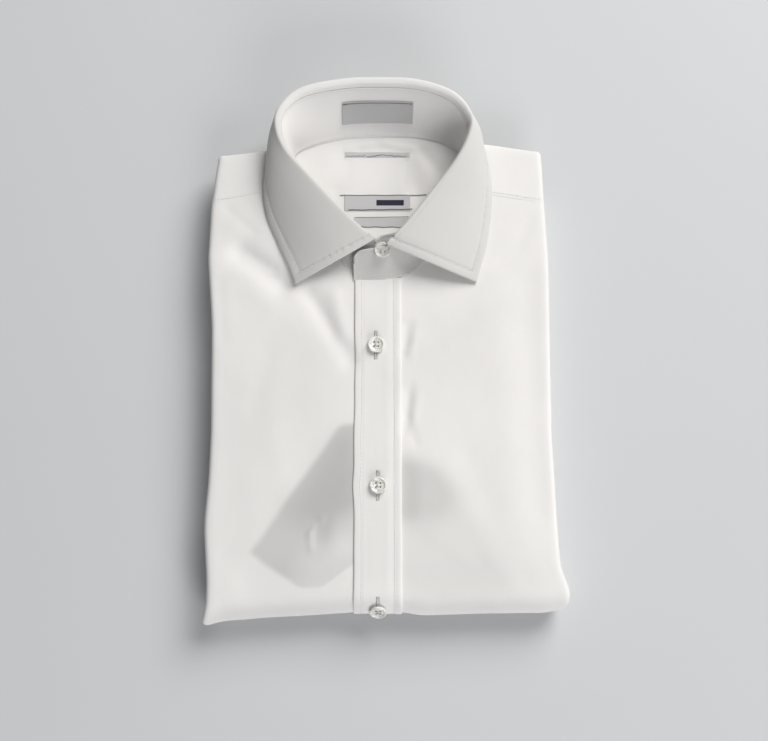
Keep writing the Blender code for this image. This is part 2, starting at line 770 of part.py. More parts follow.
def hole_cutter(name, x, y):
    sides = HOLE_SIDES
    vertices = []
    for z in (-1.0, BUTTON_H + 1.0):
        for k in range(sides):
            angle = 2 * math.pi * k / sides
            vertices.append((x + HOLE_R * math.cos(angle), y + HOLE_R * math.sin(angle), z))
    faces = [tuple(range(sides))[::-1], tuple(range(sides, 2 * sides))]
    for k in range(sides):
        after = (k + 1) % sides
        faces.append((k, after, sides + after, sides + k))
    cutter = make_object(name, vertices, faces, PEARL, 0.25)
    cutter.hide_render = True
    cutter.display_type = "WIRE"
    return cutter


def place(thing, at, normal, along):
    """Stands a piece at a point, with its own +Z along the normal."""
    up = unit(np.array(normal, dtype=float))
    side = unit(np.array(along, dtype=float) - up * np.dot(along, up))
    front = np.cross(up, side)
    turn = Matrix((side, front, up)).transposed().to_4x4()
    thing.matrix_world = Matrix.Translation([c * MM for c in at]) @ turn


def placket_button(name, x, s):
    """A button that lies on the placket, at a distance s above the bottom fold."""
    side = 1 if x > 0 else -1
    lift = PLACKET_RISE + CLEAR + BUTTON_SEAT
    here = np.array(skin(side, s, abs(x), out=lift))
    ahead = np.array(skin(side, s + 2, abs(x), out=lift))
    normal = np.cross((1.0, 0.0, 0.0), ahead - here)
    return button(name, here, normal)


def collar_button():
    """The button on the band's upper end, where the two ends of the band cross."""
    last_base, last_top = collar_at(1.0)[0], band_top(1.0)
    over_base, over_top = np.array(OVER_TAB[:3]), np.array(OVER_TAB[3:])
    share = (last_base[0] - BUTTON_COLLAR_X) / (last_base[0] - over_base[0])
    base = last_base + (over_base - last_base) * share
    top = last_top + (over_top - last_top) * share
    normal = unit(np.cross(last_base - over_base, top - base))
    normal = normal if normal[2] > 0 else -normal
    at = base + (top - base) * BUTTON_COLLAR_UP + normal * (COLLAR_WALL / 2 + CLEAR)
    return button("button_collar", at, normal)


def yoke_label(name, x0, x1, y0, y1):
    """A label that lies on the inner yoke."""
    rows = []
    for k in range(5):
        y = y0 + (y1 - y0) * k / 4
        row = []
        for i in range(5):
            x = x0 + (x1 - x0) * i / 4
            row.append((x, y, inner_yoke_z(x, y) + LABEL_GAP))
        rows.append(row)
    return make_wall(name, rows, LABEL_WALL, 1, LABEL_GREY)


def band_label():
    """The label on the inside of the band, at the back of the neck."""
    middle = min(np.linspace(0.4, 0.6, 201), key=lambda t: abs(collar_at(t)[0][0] - LABEL_BAND_MIDDLE))
    rows = []
    for i in range(9):
        t = middle + (i / 8 * 2 - 1) * LABEL_BAND_REACH
        base, top = collar_at(t)[0], band_top(t)
        ahead = collar_at(t + 0.004)[0] - collar_at(t - 0.004)[0]
        inward = unit(np.cross(top - base, ahead))
        inward = inward if inward[1] < 0 else -inward
        row = []
        for k in range(4):
            up = LABEL_BAND_LOW + (LABEL_BAND_HIGH - LABEL_BAND_LOW) * k / 3
            row.append(tuple(base + (top - base) * up + inward * (COLLAR_WALL / 2 + LABEL_GAP)))
        rows.append(row)
    return make_wall("label_band", rows, LABEL_WALL, 1, LABEL_GREY, flip=True)


def main():
    for thing in list(bpy.data.objects):
        bpy.data.objects.remove(thing, do_unlink=True)
    front_panel("front_right", -1, -FRONT_MEET)
    front_panel("front_left", 1, FRONT_MEET + CLEAR)
    placket()
    yoke()
    inner_yoke()
    collar_band()
    collar_leaf()
    folded_layers()
    yoke_label("label_main", **LABEL_MAIN)
    yoke_label("label_fit", **LABEL_FIT)
    band_label()
    collar_button()
    placket_button("button_top", BUTTON_TOP_AT[0], BUTTON_TOP_AT[1] - FOLD_Y)
    placket_button("button_middle", BUTTON_MIDDLE_AT[0], BUTTON_MIDDLE_AT[1] - FOLD_Y)
    placket_button("button_fold", BUTTON_FOLD_X, -BUTTON_FOLD_TURN * FOLD_R)


main()
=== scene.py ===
"""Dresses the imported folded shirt: cloth shells, stitching, labels, buttons, finishes and a plain studio.

Sizes are in millimetres in the shirt's own frame, as in its solids, and become metres when a mesh is
made. Colours are linear.
"""

import math
from collections import namedtuple

import bpy
import numpy as np
from bpy.props import FloatProperty, FloatVectorProperty, IntProperty, PointerProperty
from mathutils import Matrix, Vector, noise


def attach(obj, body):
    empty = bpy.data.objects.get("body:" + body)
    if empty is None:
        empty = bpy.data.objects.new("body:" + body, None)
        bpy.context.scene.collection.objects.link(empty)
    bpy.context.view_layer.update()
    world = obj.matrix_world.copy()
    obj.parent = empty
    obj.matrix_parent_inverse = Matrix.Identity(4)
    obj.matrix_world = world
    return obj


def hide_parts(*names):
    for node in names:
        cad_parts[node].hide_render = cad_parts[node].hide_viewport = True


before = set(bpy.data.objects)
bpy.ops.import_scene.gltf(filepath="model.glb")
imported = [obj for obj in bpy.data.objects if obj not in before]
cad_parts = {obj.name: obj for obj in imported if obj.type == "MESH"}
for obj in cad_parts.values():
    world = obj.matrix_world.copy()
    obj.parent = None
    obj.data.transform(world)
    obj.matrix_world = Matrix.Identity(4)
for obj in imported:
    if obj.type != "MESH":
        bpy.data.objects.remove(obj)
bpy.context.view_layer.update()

bl_info = {
    "name": "Folded Dress Shirt",
    "version": (1, 0, 0),
    "blender": (4, 5, 0),
    "location": "View3D > Sidebar > Shirt",
    "description": "Cloth, stitching, labels, buttons and finishes of a folded dress shirt",
    "category": "Object",
}

BODY = "root"
MM = 0.001
UV_NAME = "cloth_uv"

# The folded body, as in its solids
CLEAR = 0.3
STACK = 28.0
EDGE_R = 6.75
EDGE_SHARP = 0.55
FOLD_R = STACK / 2
FOLD_Y = -149.0
UNDER_END = 132.0
UNDER_INSET = 2.0
UNDER_FROM = 0.35
UNDER_RUN = 0.6
TOP_FADE = 1.2
TUCK = 12.0
TABLE_CLEAR = 0.02
PLACKET_LEFT = -17.0
PLACKET_RIGHT = 16.0
PLACKET_RISE = 1.7
FRONT_MEET = 10.0
DENT_INNER = 18.6
DENT_OUTER = 21.0
NECK_FRONT_Y = 61.6
NECK_EDGE_LEAST = 9.3
YOKE_WRAP = math.radians(144)
YOKE_DEPTH = 26.0
YOKE_NECK_TOP_Y = 150.0
YOKE_NECK_INNER = 62.5
YOKE_SEAM_NECK_Y = 126.5
YOKE_SEAM_DROP = 9.0
YOKE_NECK_X = 64.0
YOKE_SIDE_X = 119.0
NECK_POINT = (57.0, 157.0)
NECK_DIP = 4.2
NECK_DIP_REACH = 9.0
INNER_YOKE_TOP = 25.1
INNER_YOKE_FRONT_Y = 56.0
INNER_YOKE_HALF = 70.0
INNER_YOKE_DISH = 1.2
CROWN = 0.5
CROWN_HALF = 118.0
FOLD_LINE_FADE = 70.0
ACROSS = (1.0, 0.0, 0.0)

SideRow = namedtuple("SideRow", "y left right")
SIDE_OUTLINE = (
    SideRow(162, 113.0, 114.0),
    SideRow(150, 116.0, 115.2),
    SideRow(122, 119.0, 116.0),
    SideRow(78, 119.6, 117.6),
    SideRow(28, 115.2, 116.8),
    SideRow(-46, 113.4, 115.6),
    SideRow(-78, 113.8, 116.6),
    SideRow(-104, 115.8, 117.2),
    SideRow(-135, 112.8, 118.4),
    SideRow(-152, 112.8, 124.4),
    SideRow(-166, 117.0, 123.0),
)

BottomRow = namedtuple("BottomRow", "x shift")
BOTTOM_LINE = (
    BottomRow(-118, -9.5),
    BottomRow(-104, -5.0),
    BottomRow(-78, -3.0),
    BottomRow(-33, -0.4),
    BottomRow(-17, 0.6),
    BottomRow(16, 0.6),
    BottomRow(27, -1.2),
    BottomRow(66, 0.0),
    BottomRow(108, 0.4),
    BottomRow(118, 2.5),
)

ShoulderRow = namedtuple("ShoulderRow", "x edge_y")
SHOULDER = (
    ShoulderRow(-116, 153.5),
    ShoulderRow(-80, 158.0),
    ShoulderRow(-60, 161.5),
    ShoulderRow(60, 164.0),
    ShoulderRow(78, 162.4),
    ShoulderRow(116, 156.5),
)

BridgeRow = namedtuple("BridgeRow", "share sink")
YOKE_BRIDGE = (
    BridgeRow(0.0, 0.0),
    BridgeRow(0.03, 2.6),
    BridgeRow(0.16, 4.4),
    BridgeRow(0.33, 4.6),
    BridgeRow(0.67, 4.6),
    BridgeRow(0.84, 4.4),
    BridgeRow(0.97, 2.6),
    BridgeRow(1.0, 0.0),
)

# Creases of the front: a line, its half width and its height, where a trough is below zero. The solids
# have only the main ones.
Crease = namedtuple("Crease", "x0 y0 x1 y1 half height")
CREASES = (
    Crease(-96, 80, -68, 59, 8.5, -2.9),
    Crease(-96, 104, -60, 84, 12, 0.7),
    Crease(-49, 52, -20, 5, 6.5, -1.8),
    Crease(-31, 50, -25, 22, 5.5, 1.0),
    Crease(-84, 52, -56, 30, 10, 0.6),
    Crease(-40, 20, -30, -40, 18, 0.6),
    Crease(17.9, 28, 16.0, 8, 3.0, -0.8),
    Crease(18.6, -18, 16.4, -44, 3.2, -0.9),
    Crease(102, 56, 104, -92, 12, -1.0),
    Crease(84, 20, 92, -120, 16, 0.6),
    Crease(-104, -20, -96, -110, 14, -0.6),
    Crease(-84, -141, 92, -141, 9, -0.7),
    Crease(-106, 112, -88, 96, 4, -0.35),
    Crease(-90, 80, -74, 70, 3.5, -0.45),
    Crease(-44, 44, -33, 24, 4, -0.35),
    Crease(21.5, 30, 18.4, 15, 2.4, -0.5),
    Crease(25, 22, 21.4, 8, 2.6, 0.35),
    Crease(21.5, -14, 19, -34, 2.6, -0.5),
    Crease(19, -36, 24, -52, 3.0, -0.45),
    Crease(26, -22, 23, -38, 2.8, 0.35),
    Crease(-42, -105.5, -45.2, -112, 1.7, 0.7),
    Crease(-45.2, -112, -44.4, -121, 1.7, 0.7),
    Crease(-38, -101, -38, -106, 1.8, 0.5),
    Crease(60, 84, 88, 78, 8, -0.45),
    Crease(40, 20, 62, 34, 7, -0.35),
    Crease(58, -60, 74, -96, 9, -0.4),
    Crease(-70, -40, -62, -86, 9, 0.35),
    Crease(-78, 12, -84, -30, 8, -0.35),
    Crease(30, -108, 56, -128, 7, 0.3),
    Crease(-60, -132, -24, -138, 6, 0.35),
    Crease(104, 104, 96, 84, 6, -0.4),
    Crease(-112, 60, -108, 20, 5, -0.4),
)

# The collar, station by station from its left front round the back to its right front: where the
# band meets the neckline, where the leaf folds over the band, and the leaf's outer edge
Station = namedtuple("Station", "base_x base_y base_z fold_x fold_y fold_z edge_x edge_y edge_z")
COLLAR = (
    Station(-3, 63.6, 28.1, -3.2, 87.4, 40.6, -58.0, 57.6, 29.7),
    Station(-19, 67.3, 28.1, -12, 93.0, 42.0, -62.8, 70.3, 29.7),
    Station(-37, 82.0, 28.1, -28, 108.0, 45.4, -70.2, 86.5, 29.7),
    Station(-51, 102.0, 28.2, -48, 129.4, 49.0, -78.6, 107.5, 29.7),
    Station(-59.5, 124.0, 27.0, -64, 149.0, 51.5, -81.0, 130.0, 30.0),
    Station(-61.5, 142.0, 26.0, -69.6, 168.0, 52.0, -75.8, 154.0, 29.0),
    Station(-59.5, 154.0, 25.5, -65.0, 181.2, 52.4, -68.0, 177.0, 17.0),
    Station(-45, 162.0, 25.3, -51.8, 191.4, 52.8, -55.5, 187.6, 13.4),
    Station(-24, 166.8, 25.25, -24.1, 197.1, 53.0, -25.5, 192.4, 12.6),
    Station(0, 168.0, 25.25, 0.2, 198.0, 53.0, 0.0, 193.4, 12.4),
    Station(26, 167.4, 25.25, 27.0, 196.3, 53.0, 28.0, 191.6, 12.6),
    Station(45, 163.0, 25.3, 50.0, 187.6, 52.8, 54.0, 184.0, 13.4),
    Station(57, 155.0, 25.5, 61.0, 172.5, 52.4, 68.5, 172.0, 17.5),
    Station(60.5, 142.0, 26.0, 60.6, 160.0, 52.0, 73.4, 156.0, 29.6),
    Station(59, 123.0, 27.1, 52.2, 141.4, 50.4, 77.8, 133.0, 29.9),
    Station(50, 101.0, 28.2, 35.0, 118.3, 47.0, 78.0, 112.0, 29.8),
    Station(36, 79.6, 28.1, 20.4, 99.4, 44.4, 74.2, 86.0, 29.8),
    Station(20.5, 64.4, 28.3, 11.6, 89.4, 43.4, 70.0, 70.5, 29.8),
    Station(4, 60.6, 29.2, 5.2, 82.4, 43.0, 66.8, 58.7, 29.7),
)
TabEnd = namedtuple("TabEnd", "base_x base_y base_z top_x top_y top_z")
UNDER_TAB = TabEnd(13, 65.2, 28.1, 13, 92.6, 38.6)
UNDER_TAB_RISE = TabEnd(-1.5, 64.0, 28.1, 0.8, 89.6, 39.4)
OVER_TAB = TabEnd(-18.2, 60.2, 29.1, -17.8, 78.4, 38.4)
TAB_CORNER = 5.5
SEAM_DROP = 5.0
SEAM_DROP_END = 1.5
SEAM_RISE_FROM = 0.93
SEAM_RISE_RUN = 0.07
SEAM_GAP = 0.12
ROLL = 1.9
ROLL_AT_ENDS = 0.9
LEAF_BULGE = 2.6
COLLAR_THICK = 1.7
SQUARE_RIM = 0.2
NECKLINE_SPANS = {-1: (0.0, 0.42), 1: (1.0, 0.58)}

# The hidden layers: their heights, where each ends towards the shoulders, and how far in from the sides
Hidden = namedtuple("Hidden", "name low high end_y inset plies")
HIDDEN = (
    Hidden("tail_fold", 3.0, 6.2, 127.0, 0.0, 3),
    Hidden("back_fold", 6.5, 9.6, 140.0, 0.0, 3),
    Hidden("right_sleeve_fold", 9.9, 12.1, 133.0, 0.4, 2),
    Hidden("half_fold", 12.4, 15.7, 126.0, 22.0, 3),
    Hidden("left_sleeve_fold", 16.0, 18.6, 147.5, 0.4, 2),
    Hidden("upper_back_fold", 18.9, 22.5, 144.0, 0.0, 3),
    Hidden("front_facing_fold", 22.8, 25.3, 45.0, 0.6, 2),
)

# Labels: edges on the inner yoke, in the frame's X and Y
Patch = namedtuple("Patch", "x0 x1 y0 y1")
LABEL_MAIN = Patch(-25.0, 21.5, 112.8, 157.0)
LABEL_FIT = Patch(-18.0, 21.5, 100.6, 108.6)
LABEL_BAND_LOW = 0.30
LABEL_BAND_HIGH = 0.74
LABEL_BAND_MIDDLE = -2.5
LABEL_BAND_REACH = 0.055
LABEL_BAND_OFF = 0.2
LABEL_BAND_TONE = 0.84
LABEL_NEAR = 0.03
LABEL_THICK = 0.2

# Buttons: places as in the solids
BUTTON_R = 5.7
BUTTON_H = 2.4
BUTTON_RIM = 0.75
BUTTON_EDGE = 0.95
BUTTON_HOLLOW = 0.75
BUTTON_SEAT = 0.35
HOLE_R = 0.65
HOLE_OFFSET = 1.35
BUTTON_TOP_AT = (-2.4, 14.7)
BUTTON_MIDDLE_AT = (-0.9, -80.5)
BUTTON_FOLD_X = -0.8
BUTTON_FOLD_TURN = math.radians(55)
BUTTON_COLLAR_X = 0.8
BUTTON_COLLAR_BELOW = 2.3
BUTTON_COLLAR_TILT = math.radians(21)
BUTTON_COLLAR_PROUD = 0.25

# The buttons on the placket: x and the distance above the start of the bottom fold
ButtonPlace = namedtuple("ButtonPlace", "name x s")
PLACKET_BUTTONS = (
    ButtonPlace("button_top", BUTTON_TOP_AT[0], BUTTON_TOP_AT[1] - FOLD_Y),
    ButtonPlace("button_middle", BUTTON_MIDDLE_AT[0], BUTTON_MIDDLE_AT[1] - FOLD_Y),
    ButtonPlace("button_fold", BUTTON_FOLD_X, -BUTTON_FOLD_TURN * FOLD_R),
)

# What the piece makers leave for the stitching: the outer face of each shell and its normals
SURFACES = {}


class ShirtCloth(bpy.types.PropertyGroup):
    """The cloth's thickness, relief and colour."""

    thickness: FloatProperty(
        name="Thickness", description="Thickness of one layer of shirting", default=0.0006, min=0.0002,
        max=0.0012, unit="LENGTH")
    crease_strength: FloatProperty(
        name="Creases", description="Share of the creases' full depth", default=1.0, min=0.0, max=2.0,
        subtype="FACTOR")
    unevenness: FloatProperty(
        name="Unevenness", description="Height of the cloth's soft unevenness", default=0.00018, min=0.0,
        max=0.001, unit="LENGTH")
    thread_pitch: FloatProperty(
        name="Thread Pitch", description="Distance between two threads of the weave", default=0.00042,
        min=0.0001, max=0.002, unit="LENGTH")
    # Painted shade: this colour darkens the fronts of the collar leaf and band, where they face away from the
    # light or lie in the leaf's shadow; their backs stay white.
    collar: FloatVectorProperty(
        name="Collar", description="Colour of the fused double cloth of collar and band",
        default=(0.645, 0.632, 0.612), size=3, subtype="COLOR", min=0.0, max=1.0)
    white: FloatVectorProperty(
        name="White", description="Colour of the shirting", default=(0.835, 0.816, 0.798), size=3,
        subtype="COLOR", min=0.0, max=1.0)
    shade: FloatVectorProperty(
        name="Shade", description="Colour of the shirting where darker cloth lies under it",
        default=(0.475, 0.461, 0.452), size=3, subtype="COLOR", min=0.0, max=1.0)


class ShirtTrims(bpy.types.PropertyGroup):
    """Stitches, labels and buttons."""

    stitch_length: FloatProperty(
        name="Stitch Length", description="Length of one stitch", default=0.0021, min=0.001, max=0.004,
        unit="LENGTH")
    stitch_gap: FloatProperty(
        name="Stitch Gap", description="Gap between two stitches", default=0.0005, min=0.0001, max=0.002,
        unit="LENGTH")
    thread_radius: FloatProperty(
        name="Thread Radius", description="Radius of the sewing thread", default=0.00017, min=0.00005,
        max=0.0005, unit="LENGTH")
    thread: FloatVectorProperty(
        name="Thread", description="Colour of the sewing thread", default=(0.80, 0.80, 0.79), size=3,
        subtype="COLOR", min=0.0, max=1.0)
    dark_thread: FloatVectorProperty(
        name="Label Thread", description="Colour of the thread that holds the labels",
        default=(0.035, 0.036, 0.05), size=3, subtype="COLOR", min=0.0, max=1.0)
    label: FloatVectorProperty(
        name="Label", description="Colour of the woven labels", default=(0.56, 0.555, 0.56), size=3,
        subtype="COLOR", min=0.0, max=1.0)
    label_block: FloatVectorProperty(
        name="Label Block", description="Colour of the plain woven block on the main label",
        default=(0.018, 0.018, 0.045), size=3, subtype="COLOR", min=0.0, max=1.0)
    pearl: FloatVectorProperty(
        name="Pearl", description="Colour of the buttons", default=(0.80, 0.79, 0.74), size=3,
        subtype="COLOR", min=0.0, max=1.0)
    button_sides: IntProperty(
        name="Button Sides", description="Sides of a button's rim", default=64, min=24, max=128)


class ShirtStudio(bpy.types.PropertyGroup):
    """Floor, lights and camera."""

    floor: FloatVectorProperty(
        name="Floor", description="Colour of the floor", default=(0.62, 0.63, 0.64), size=3,
        subtype="COLOR", min=0.0, max=1.0)
    key_power: FloatProperty(
        name="Key Light", description="Power of the soft light from the upper right", default=86.0, min=0.0,
        unit="POWER")
    fill_power: FloatProperty(
        name="Fill Light", description="Power of the soft light from the front", default=36.0, min=0.0,
        unit="POWER")
    ambient: FloatProperty(
        name="Ambient", description="Brightness of the room", default=0.20, min=0.0, max=3.0)
    lens: FloatProperty(
        name="Lens", description="Focal length of the camera in millimetres", default=46.875, min=20.0,
        max=120.0)


def smooth(t):
    """A soft step from 0 to 1."""
    t = np.clip(t, 0.0, 1.0)
    return t * t * (3 - 2 * t)


def table(rows, column, key, at, soften=5.0):
    """A column of a table read along its key column, with the corners softened."""
    keys = np.array([getattr(row, key) for row in rows], dtype=float)
    values = np.array([getattr(row, column) for row in rows], dtype=float)
    order = np.argsort(keys)
    probes = (-soften, -soften / 2, 0.0, soften / 2, soften)
    read = [np.interp(np.asarray(at) + probe, keys[order], values[order]) for probe in probes]
    return sum(read) / len(probes)


def through(points, t):
    """A smooth curve through points, read at every t from 0 to 1. points is (count, values)."""
    last = len(points) - 1
    place = np.clip(np.asarray(t, dtype=float), 0.0, 1.0) * last
    i = np.minimum(place.astype(int), last - 1)
    f = (place - i)[..., None]
    a, b, c, d = (points[np.clip(i + k, 0, last)] for k in (-1, 0, 1, 2))
    square = (2 * a - 5 * b + 4 * c - d) * f ** 2
    cube = (3 * b - a - 3 * c + d) * f ** 3
    return 0.5 * (2 * b + (c - a) * f + square + cube)


def unit(v):
    return v / np.maximum(np.linalg.norm(v, axis=-1, keepdims=True), 1e-12)


def spaced(length, step, rim=(0.0, 0.12, 0.4, 0.85)):
    """Places from 0 to 1 along a length, a step apart, and closer together near both ends."""
    rim = np.array(rim)
    inner = np.linspace(rim[-1], length - rim[-1], max(int(length / step), 2) + 1)
    return np.concatenate((rim[:-1], inner, length - rim[:-1][::-1])) / length


COLLAR_POINTS = np.array(COLLAR, dtype=float)


def collar_at(t):
    """Base, fold and outer edge of the collar at t, from 0 at the left front to 1 at the right front."""
    row = through(COLLAR_POINTS, t)
    return row[..., 0:3], row[..., 3:6], row[..., 6:9]


def seam_drop(t):
    """How far the seam between band and leaf lies below the fold. It rises to the leaf's front corners."""
    t = np.asarray(t)
    near_end = smooth((np.maximum(t, 1 - t) - SEAM_RISE_FROM) / SEAM_RISE_RUN)
    return (SEAM_DROP + (SEAM_DROP_END - SEAM_DROP) * near_end)[..., None]


def band_top(t):
    """The seam between band and leaf, a little below the fold on the inside."""
    base, fold, _ = collar_at(t)
    return fold - unit(fold - base) * seam_drop(t)


def neckline(side):
    """The line where the band stands, on one side, as y and distance from the middle."""
    base = collar_at(np.linspace(*NECKLINE_SPANS[side], 90))[0]
    order = np.argsort(base[:, 1])
    return base[order, 1], base[order, 0] * side


NECKLINES = {-1: neckline(-1), 1: neckline(1)}


def neck_x(side, y):
    ys, xs = NECKLINES[side]
    return np.interp(y, ys, xs)


def yoke_seam_y(c):
    """The seam between yoke and front at a distance c from the middle."""
    return YOKE_SEAM_NECK_Y - YOKE_SEAM_DROP * np.clip((c - YOKE_NECK_X) / (YOKE_SIDE_X - YOKE_NECK_X), 0, 1)


def creased(height, creases, x, y, strength=1.0):
    """A height with creases added to it, at places x and y."""
    for crease in creases:
        dx = crease.x1 - crease.x0
        dy = crease.y1 - crease.y0
        along = np.clip(((x - crease.x0) * dx + (y - crease.y0) * dy) / (dx * dx + dy * dy), 0.0, 1.0)
        away = np.hypot(x - crease.x0 - along * dx, y - crease.y0 - along * dy)
        height = height + strength * crease.height * np.exp(-(away / crease.half) ** 2)
    return height


def relief(x, y):
    """Height of the creases and of the stack's slight crown above the flat top."""
    crown = CROWN * np.cos(x / CROWN_HALF * math.pi / 2)
    return creased(crown, CREASES, x, y, bpy.context.scene.shirt_cloth.crease_strength)


def uneven(points, wavelength, seed):
    """A soft random height for every point, from -1 to 1."""
    flat = points.reshape(-1, 3) / wavelength
    shift = Vector((seed * 7.3, seed * 3.1, seed * 5.7))
    heights = [noise.noise(Vector(point) + shift) for point in flat]
    return np.array(heights).reshape(points.shape[:-1])


def fold_frame(s):
    """Place and outward direction, in the YZ plane, at a distance s above the start of the bottom fold."""
    turn = np.clip(-s / FOLD_R, 0.0, math.pi)
    past = np.maximum(-s - math.pi * FOLD_R, 0.0)
    y = FOLD_Y + np.maximum(s, 0.0) - FOLD_R * np.sin(turn) + past
    z = FOLD_R * (1 + np.cos(turn))
    return y, z, -np.sin(turn), np.cos(turn)


def under_share(s):
    """0 on the top, 1 on the underside."""
    return smooth((-s / FOLD_R - math.pi * UNDER_FROM) / (math.pi * UNDER_RUN))


def half_width(side, s):
    y = fold_frame(s)[0]
    return table(SIDE_OUTLINE, "left" if side < 0 else "right", "y", y) - UNDER_INSET * under_share(s)


def near_fold(s):
    past = np.maximum(-s - math.pi * FOLD_R, 0)
    return smooth(1 - np.where(s >= 0, s, past) / FOLD_LINE_FADE)


def edge_profile(turn, under=0.0):
    """Reach and drop of a folded edge at an angle, for a radius of 1. It is crisper than a circle above."""
    sharp = EDGE_SHARP + (1 - EDGE_SHARP) * under
    above = np.asarray(turn) < math.pi / 2
    reach = np.where(above, np.abs(np.sin(turn)) ** sharp, np.sin(turn))
    drop = 1 - np.where(above, np.abs(np.cos(turn)) ** sharp, np.cos(turn))
    return reach, drop


def skin(side, s, c, turn=0.0, tuck=0.0, out=0.0):
    """Points of the body's outer face.

    c is the distance from the middle, turn the angle round the side fold and tuck the
    distance back in behind it. out moves the points outwards.
    """
    y, z, ny, nz = fold_frame(s)
    reach, drop = edge_profile(turn, under_share(s))
    x = side * (c + EDGE_R * reach - tuck)
    depth = EDGE_R * drop
    top = 1 - smooth(-s / (FOLD_R * TOP_FADE))
    lift = relief(x, y) * top * np.maximum(np.cos(turn / 2), 0.0)
    dent = PLACKET_RISE * smooth((DENT_OUTER - np.abs(x)) / (DENT_OUTER - DENT_INNER)) * under_share(s)
    level = out + lift - depth - dent
    y = y + table(BOTTOM_LINE, "shift", "x", x) * near_fold(s)
    return np.stack(np.broadcast_arrays(x, y + ny * level, z + nz * level), axis=-1)


def grid_normals(points):
    across = np.gradient(points, axis=1)
    along = np.gradient(points, axis=0)
    return unit(np.cross(across, along))


def run_lengths(points, axis):
    """Length along the grid from its first row or column, in millimetres."""
    steps = np.linalg.norm(np.diff(points, axis=axis), axis=-1)
    lengths = np.cumsum(steps, axis=axis)
    start = np.zeros_like(np.take(lengths, [0], axis=axis))
    return np.concatenate((start, lengths), axis=axis)


def edge_distance(points, sides="tblr"):
    """Distance of each grid point to the nearest of the named edges, and the length along that edge."""
    down = run_lengths(points, 0)
    across = run_lengths(points, 1)
    options = {
        "t": (down, across),
        "b": (down[-1:] - down, across),
        "l": (across, down),
        "r": (across[:, -1:] - across, down),
    }
    distance = np.min([options[side][0] for side in sides], axis=0)
    along = np.zeros_like(distance)
    for side in sides:
        along = np.where(options[side][0] <= distance + 1e-9, options[side][1], along)
    return distance, along


def tube_faces(rings, sides, start=0):
    """Faces of a closed tube of rings, whose vertices are numbered ring by ring from start."""
    faces = []
    for a in range(start, start + (rings - 1) * sides, sides):
        for j in range(sides):
            after = (j + 1) % sides
            faces.append((a + j, a + after, a + sides + after, a + sides + j))
    last = start + (rings - 1) * sides
    return faces + [tuple(range(start, start + sides))[::-1], tuple(range(last, last + sides))]


def add_object(name, data):
    thing = bpy.data.objects.new(name, data)
    bpy.context.collection.objects.link(thing)
    return thing


def new_object(name, vertices, faces, material, uvs=None, smooth_angle=None):
    mesh = bpy.data.meshes.new(name)
    mesh.from_pydata((np.asarray(vertices) * MM).tolist(), [], faces)
    if uvs is not None:
        layer = mesh.uv_layers.new(name=UV_NAME)
        loops = np.empty(len(mesh.loops), dtype=np.int32)
        mesh.loops.foreach_get("vertex_index", loops)
        layer.data.foreach_set("uv", (np.asarray(uvs) * MM)[loops].ravel())
    mesh.shade_smooth()
    if smooth_angle is not None:
        mesh.set_sharp_from_angle(angle=math.radians(smooth_angle))
    mesh.materials.append(material)
    return add_object(name, mesh)


def belongs(thing, slot, *nodes):
    """Rides the piece on the body and hides the nodes that it stands for."""
    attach(thing, BODY)
    if nodes:
        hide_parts(*nodes)


def shell(name, points, thickness, material, flip=False, both_ways=False, rims=None):
    """A closed cloth shell through a grid of points of its outer face.

    Its edges are round. rims gives other sides, t, b, l or r, how far from the edge the shell reaches its
    full thickness.
    """
    points = np.asarray(points, dtype=float)
    normals = grid_normals(points) * (-1 if flip else 1)
    half = thickness / 2
    swell = np.full(points.shape[:2], half)
    for side in "tblr":
        rim = (rims or {}).get(side, half)
        share = np.clip(edge_distance(points, side)[0] / rim, 0, 1)
        swell = np.minimum(swell, half * np.sqrt(1 - (1 - share) ** 2))
    middle = points if both_ways else points - normals * half
    outer = middle + normals * swell[..., None]
    inner = middle - normals * swell[..., None]
    rows, columns = points.shape[:2]
    number = np.arange(rows * columns).reshape(rows, columns)
    inside = np.full((rows, columns), -1)
    inner_number = np.arange((rows - 2) * (columns - 2)).reshape(rows - 2, columns - 2)
    inside[1:-1, 1:-1] = rows * columns + inner_number
    under = np.where(inside >= 0, inside, number)
    vertices = np.concatenate((outer.reshape(-1, 3), inner[1:-1, 1:-1].reshape(-1, 3)))
    lengths = np.stack((run_lengths(points, 1), run_lengths(points, 0)), axis=-1)
    uvs = np.concatenate((lengths.reshape(-1, 2), lengths[1:-1, 1:-1].reshape(-1, 2)))
    faces = []
    for ids, turned in ((number, flip), (under, not flip)):
        quads = np.stack((ids[:-1, :-1], ids[:-1, 1:], ids[1:, 1:], ids[1:, :-1]), axis=-1).reshape(-1, 4)
        faces += (quads[:, ::-1] if turned else quads).tolist()
    thing = new_object(name, vertices, faces, material, uvs)
    SURFACES[name] = (outer, normals)
    return thing


def on_surface(name, rows, columns):
    """Points and normals of a shell's outer face at fractional rows and columns."""
    outer, normals = SURFACES[name]
    result = []
    for grid in (outer, normals):
        i = np.clip(np.floor(rows).astype(int), 0, grid.shape[0] - 2)
        j = np.clip(np.floor(columns).astype(int), 0, grid.shape[1] - 2)
        f = (rows - i)[:, None]
        g = (columns - j)[:, None]
        low = grid[i, j] * (1 - g) + grid[i, j + 1] * g
        high = grid[i + 1, j] * (1 - g) + grid[i + 1, j + 1] * g
        result.append(low * (1 - f) + high * f)
    return result[0], unit(result[1])


def even_steps(points, normals, step):
    """The same path with its points an even step apart."""
    lengths = np.concatenate(([0.0], np.cumsum(np.linalg.norm(np.diff(points, axis=0), axis=1))))
    count = max(int(lengths[-1] / step), 1)
    places = np.linspace(0, lengths[-1], count + 1)
    moved = np.stack([np.interp(places, lengths, points[:, k]) for k in range(3)], axis=1)
    turned = np.stack([np.interp(places, lengths, normals[:, k]) for k in range(3)], axis=1)
    return moved, unit(turned)


# Shader node groups

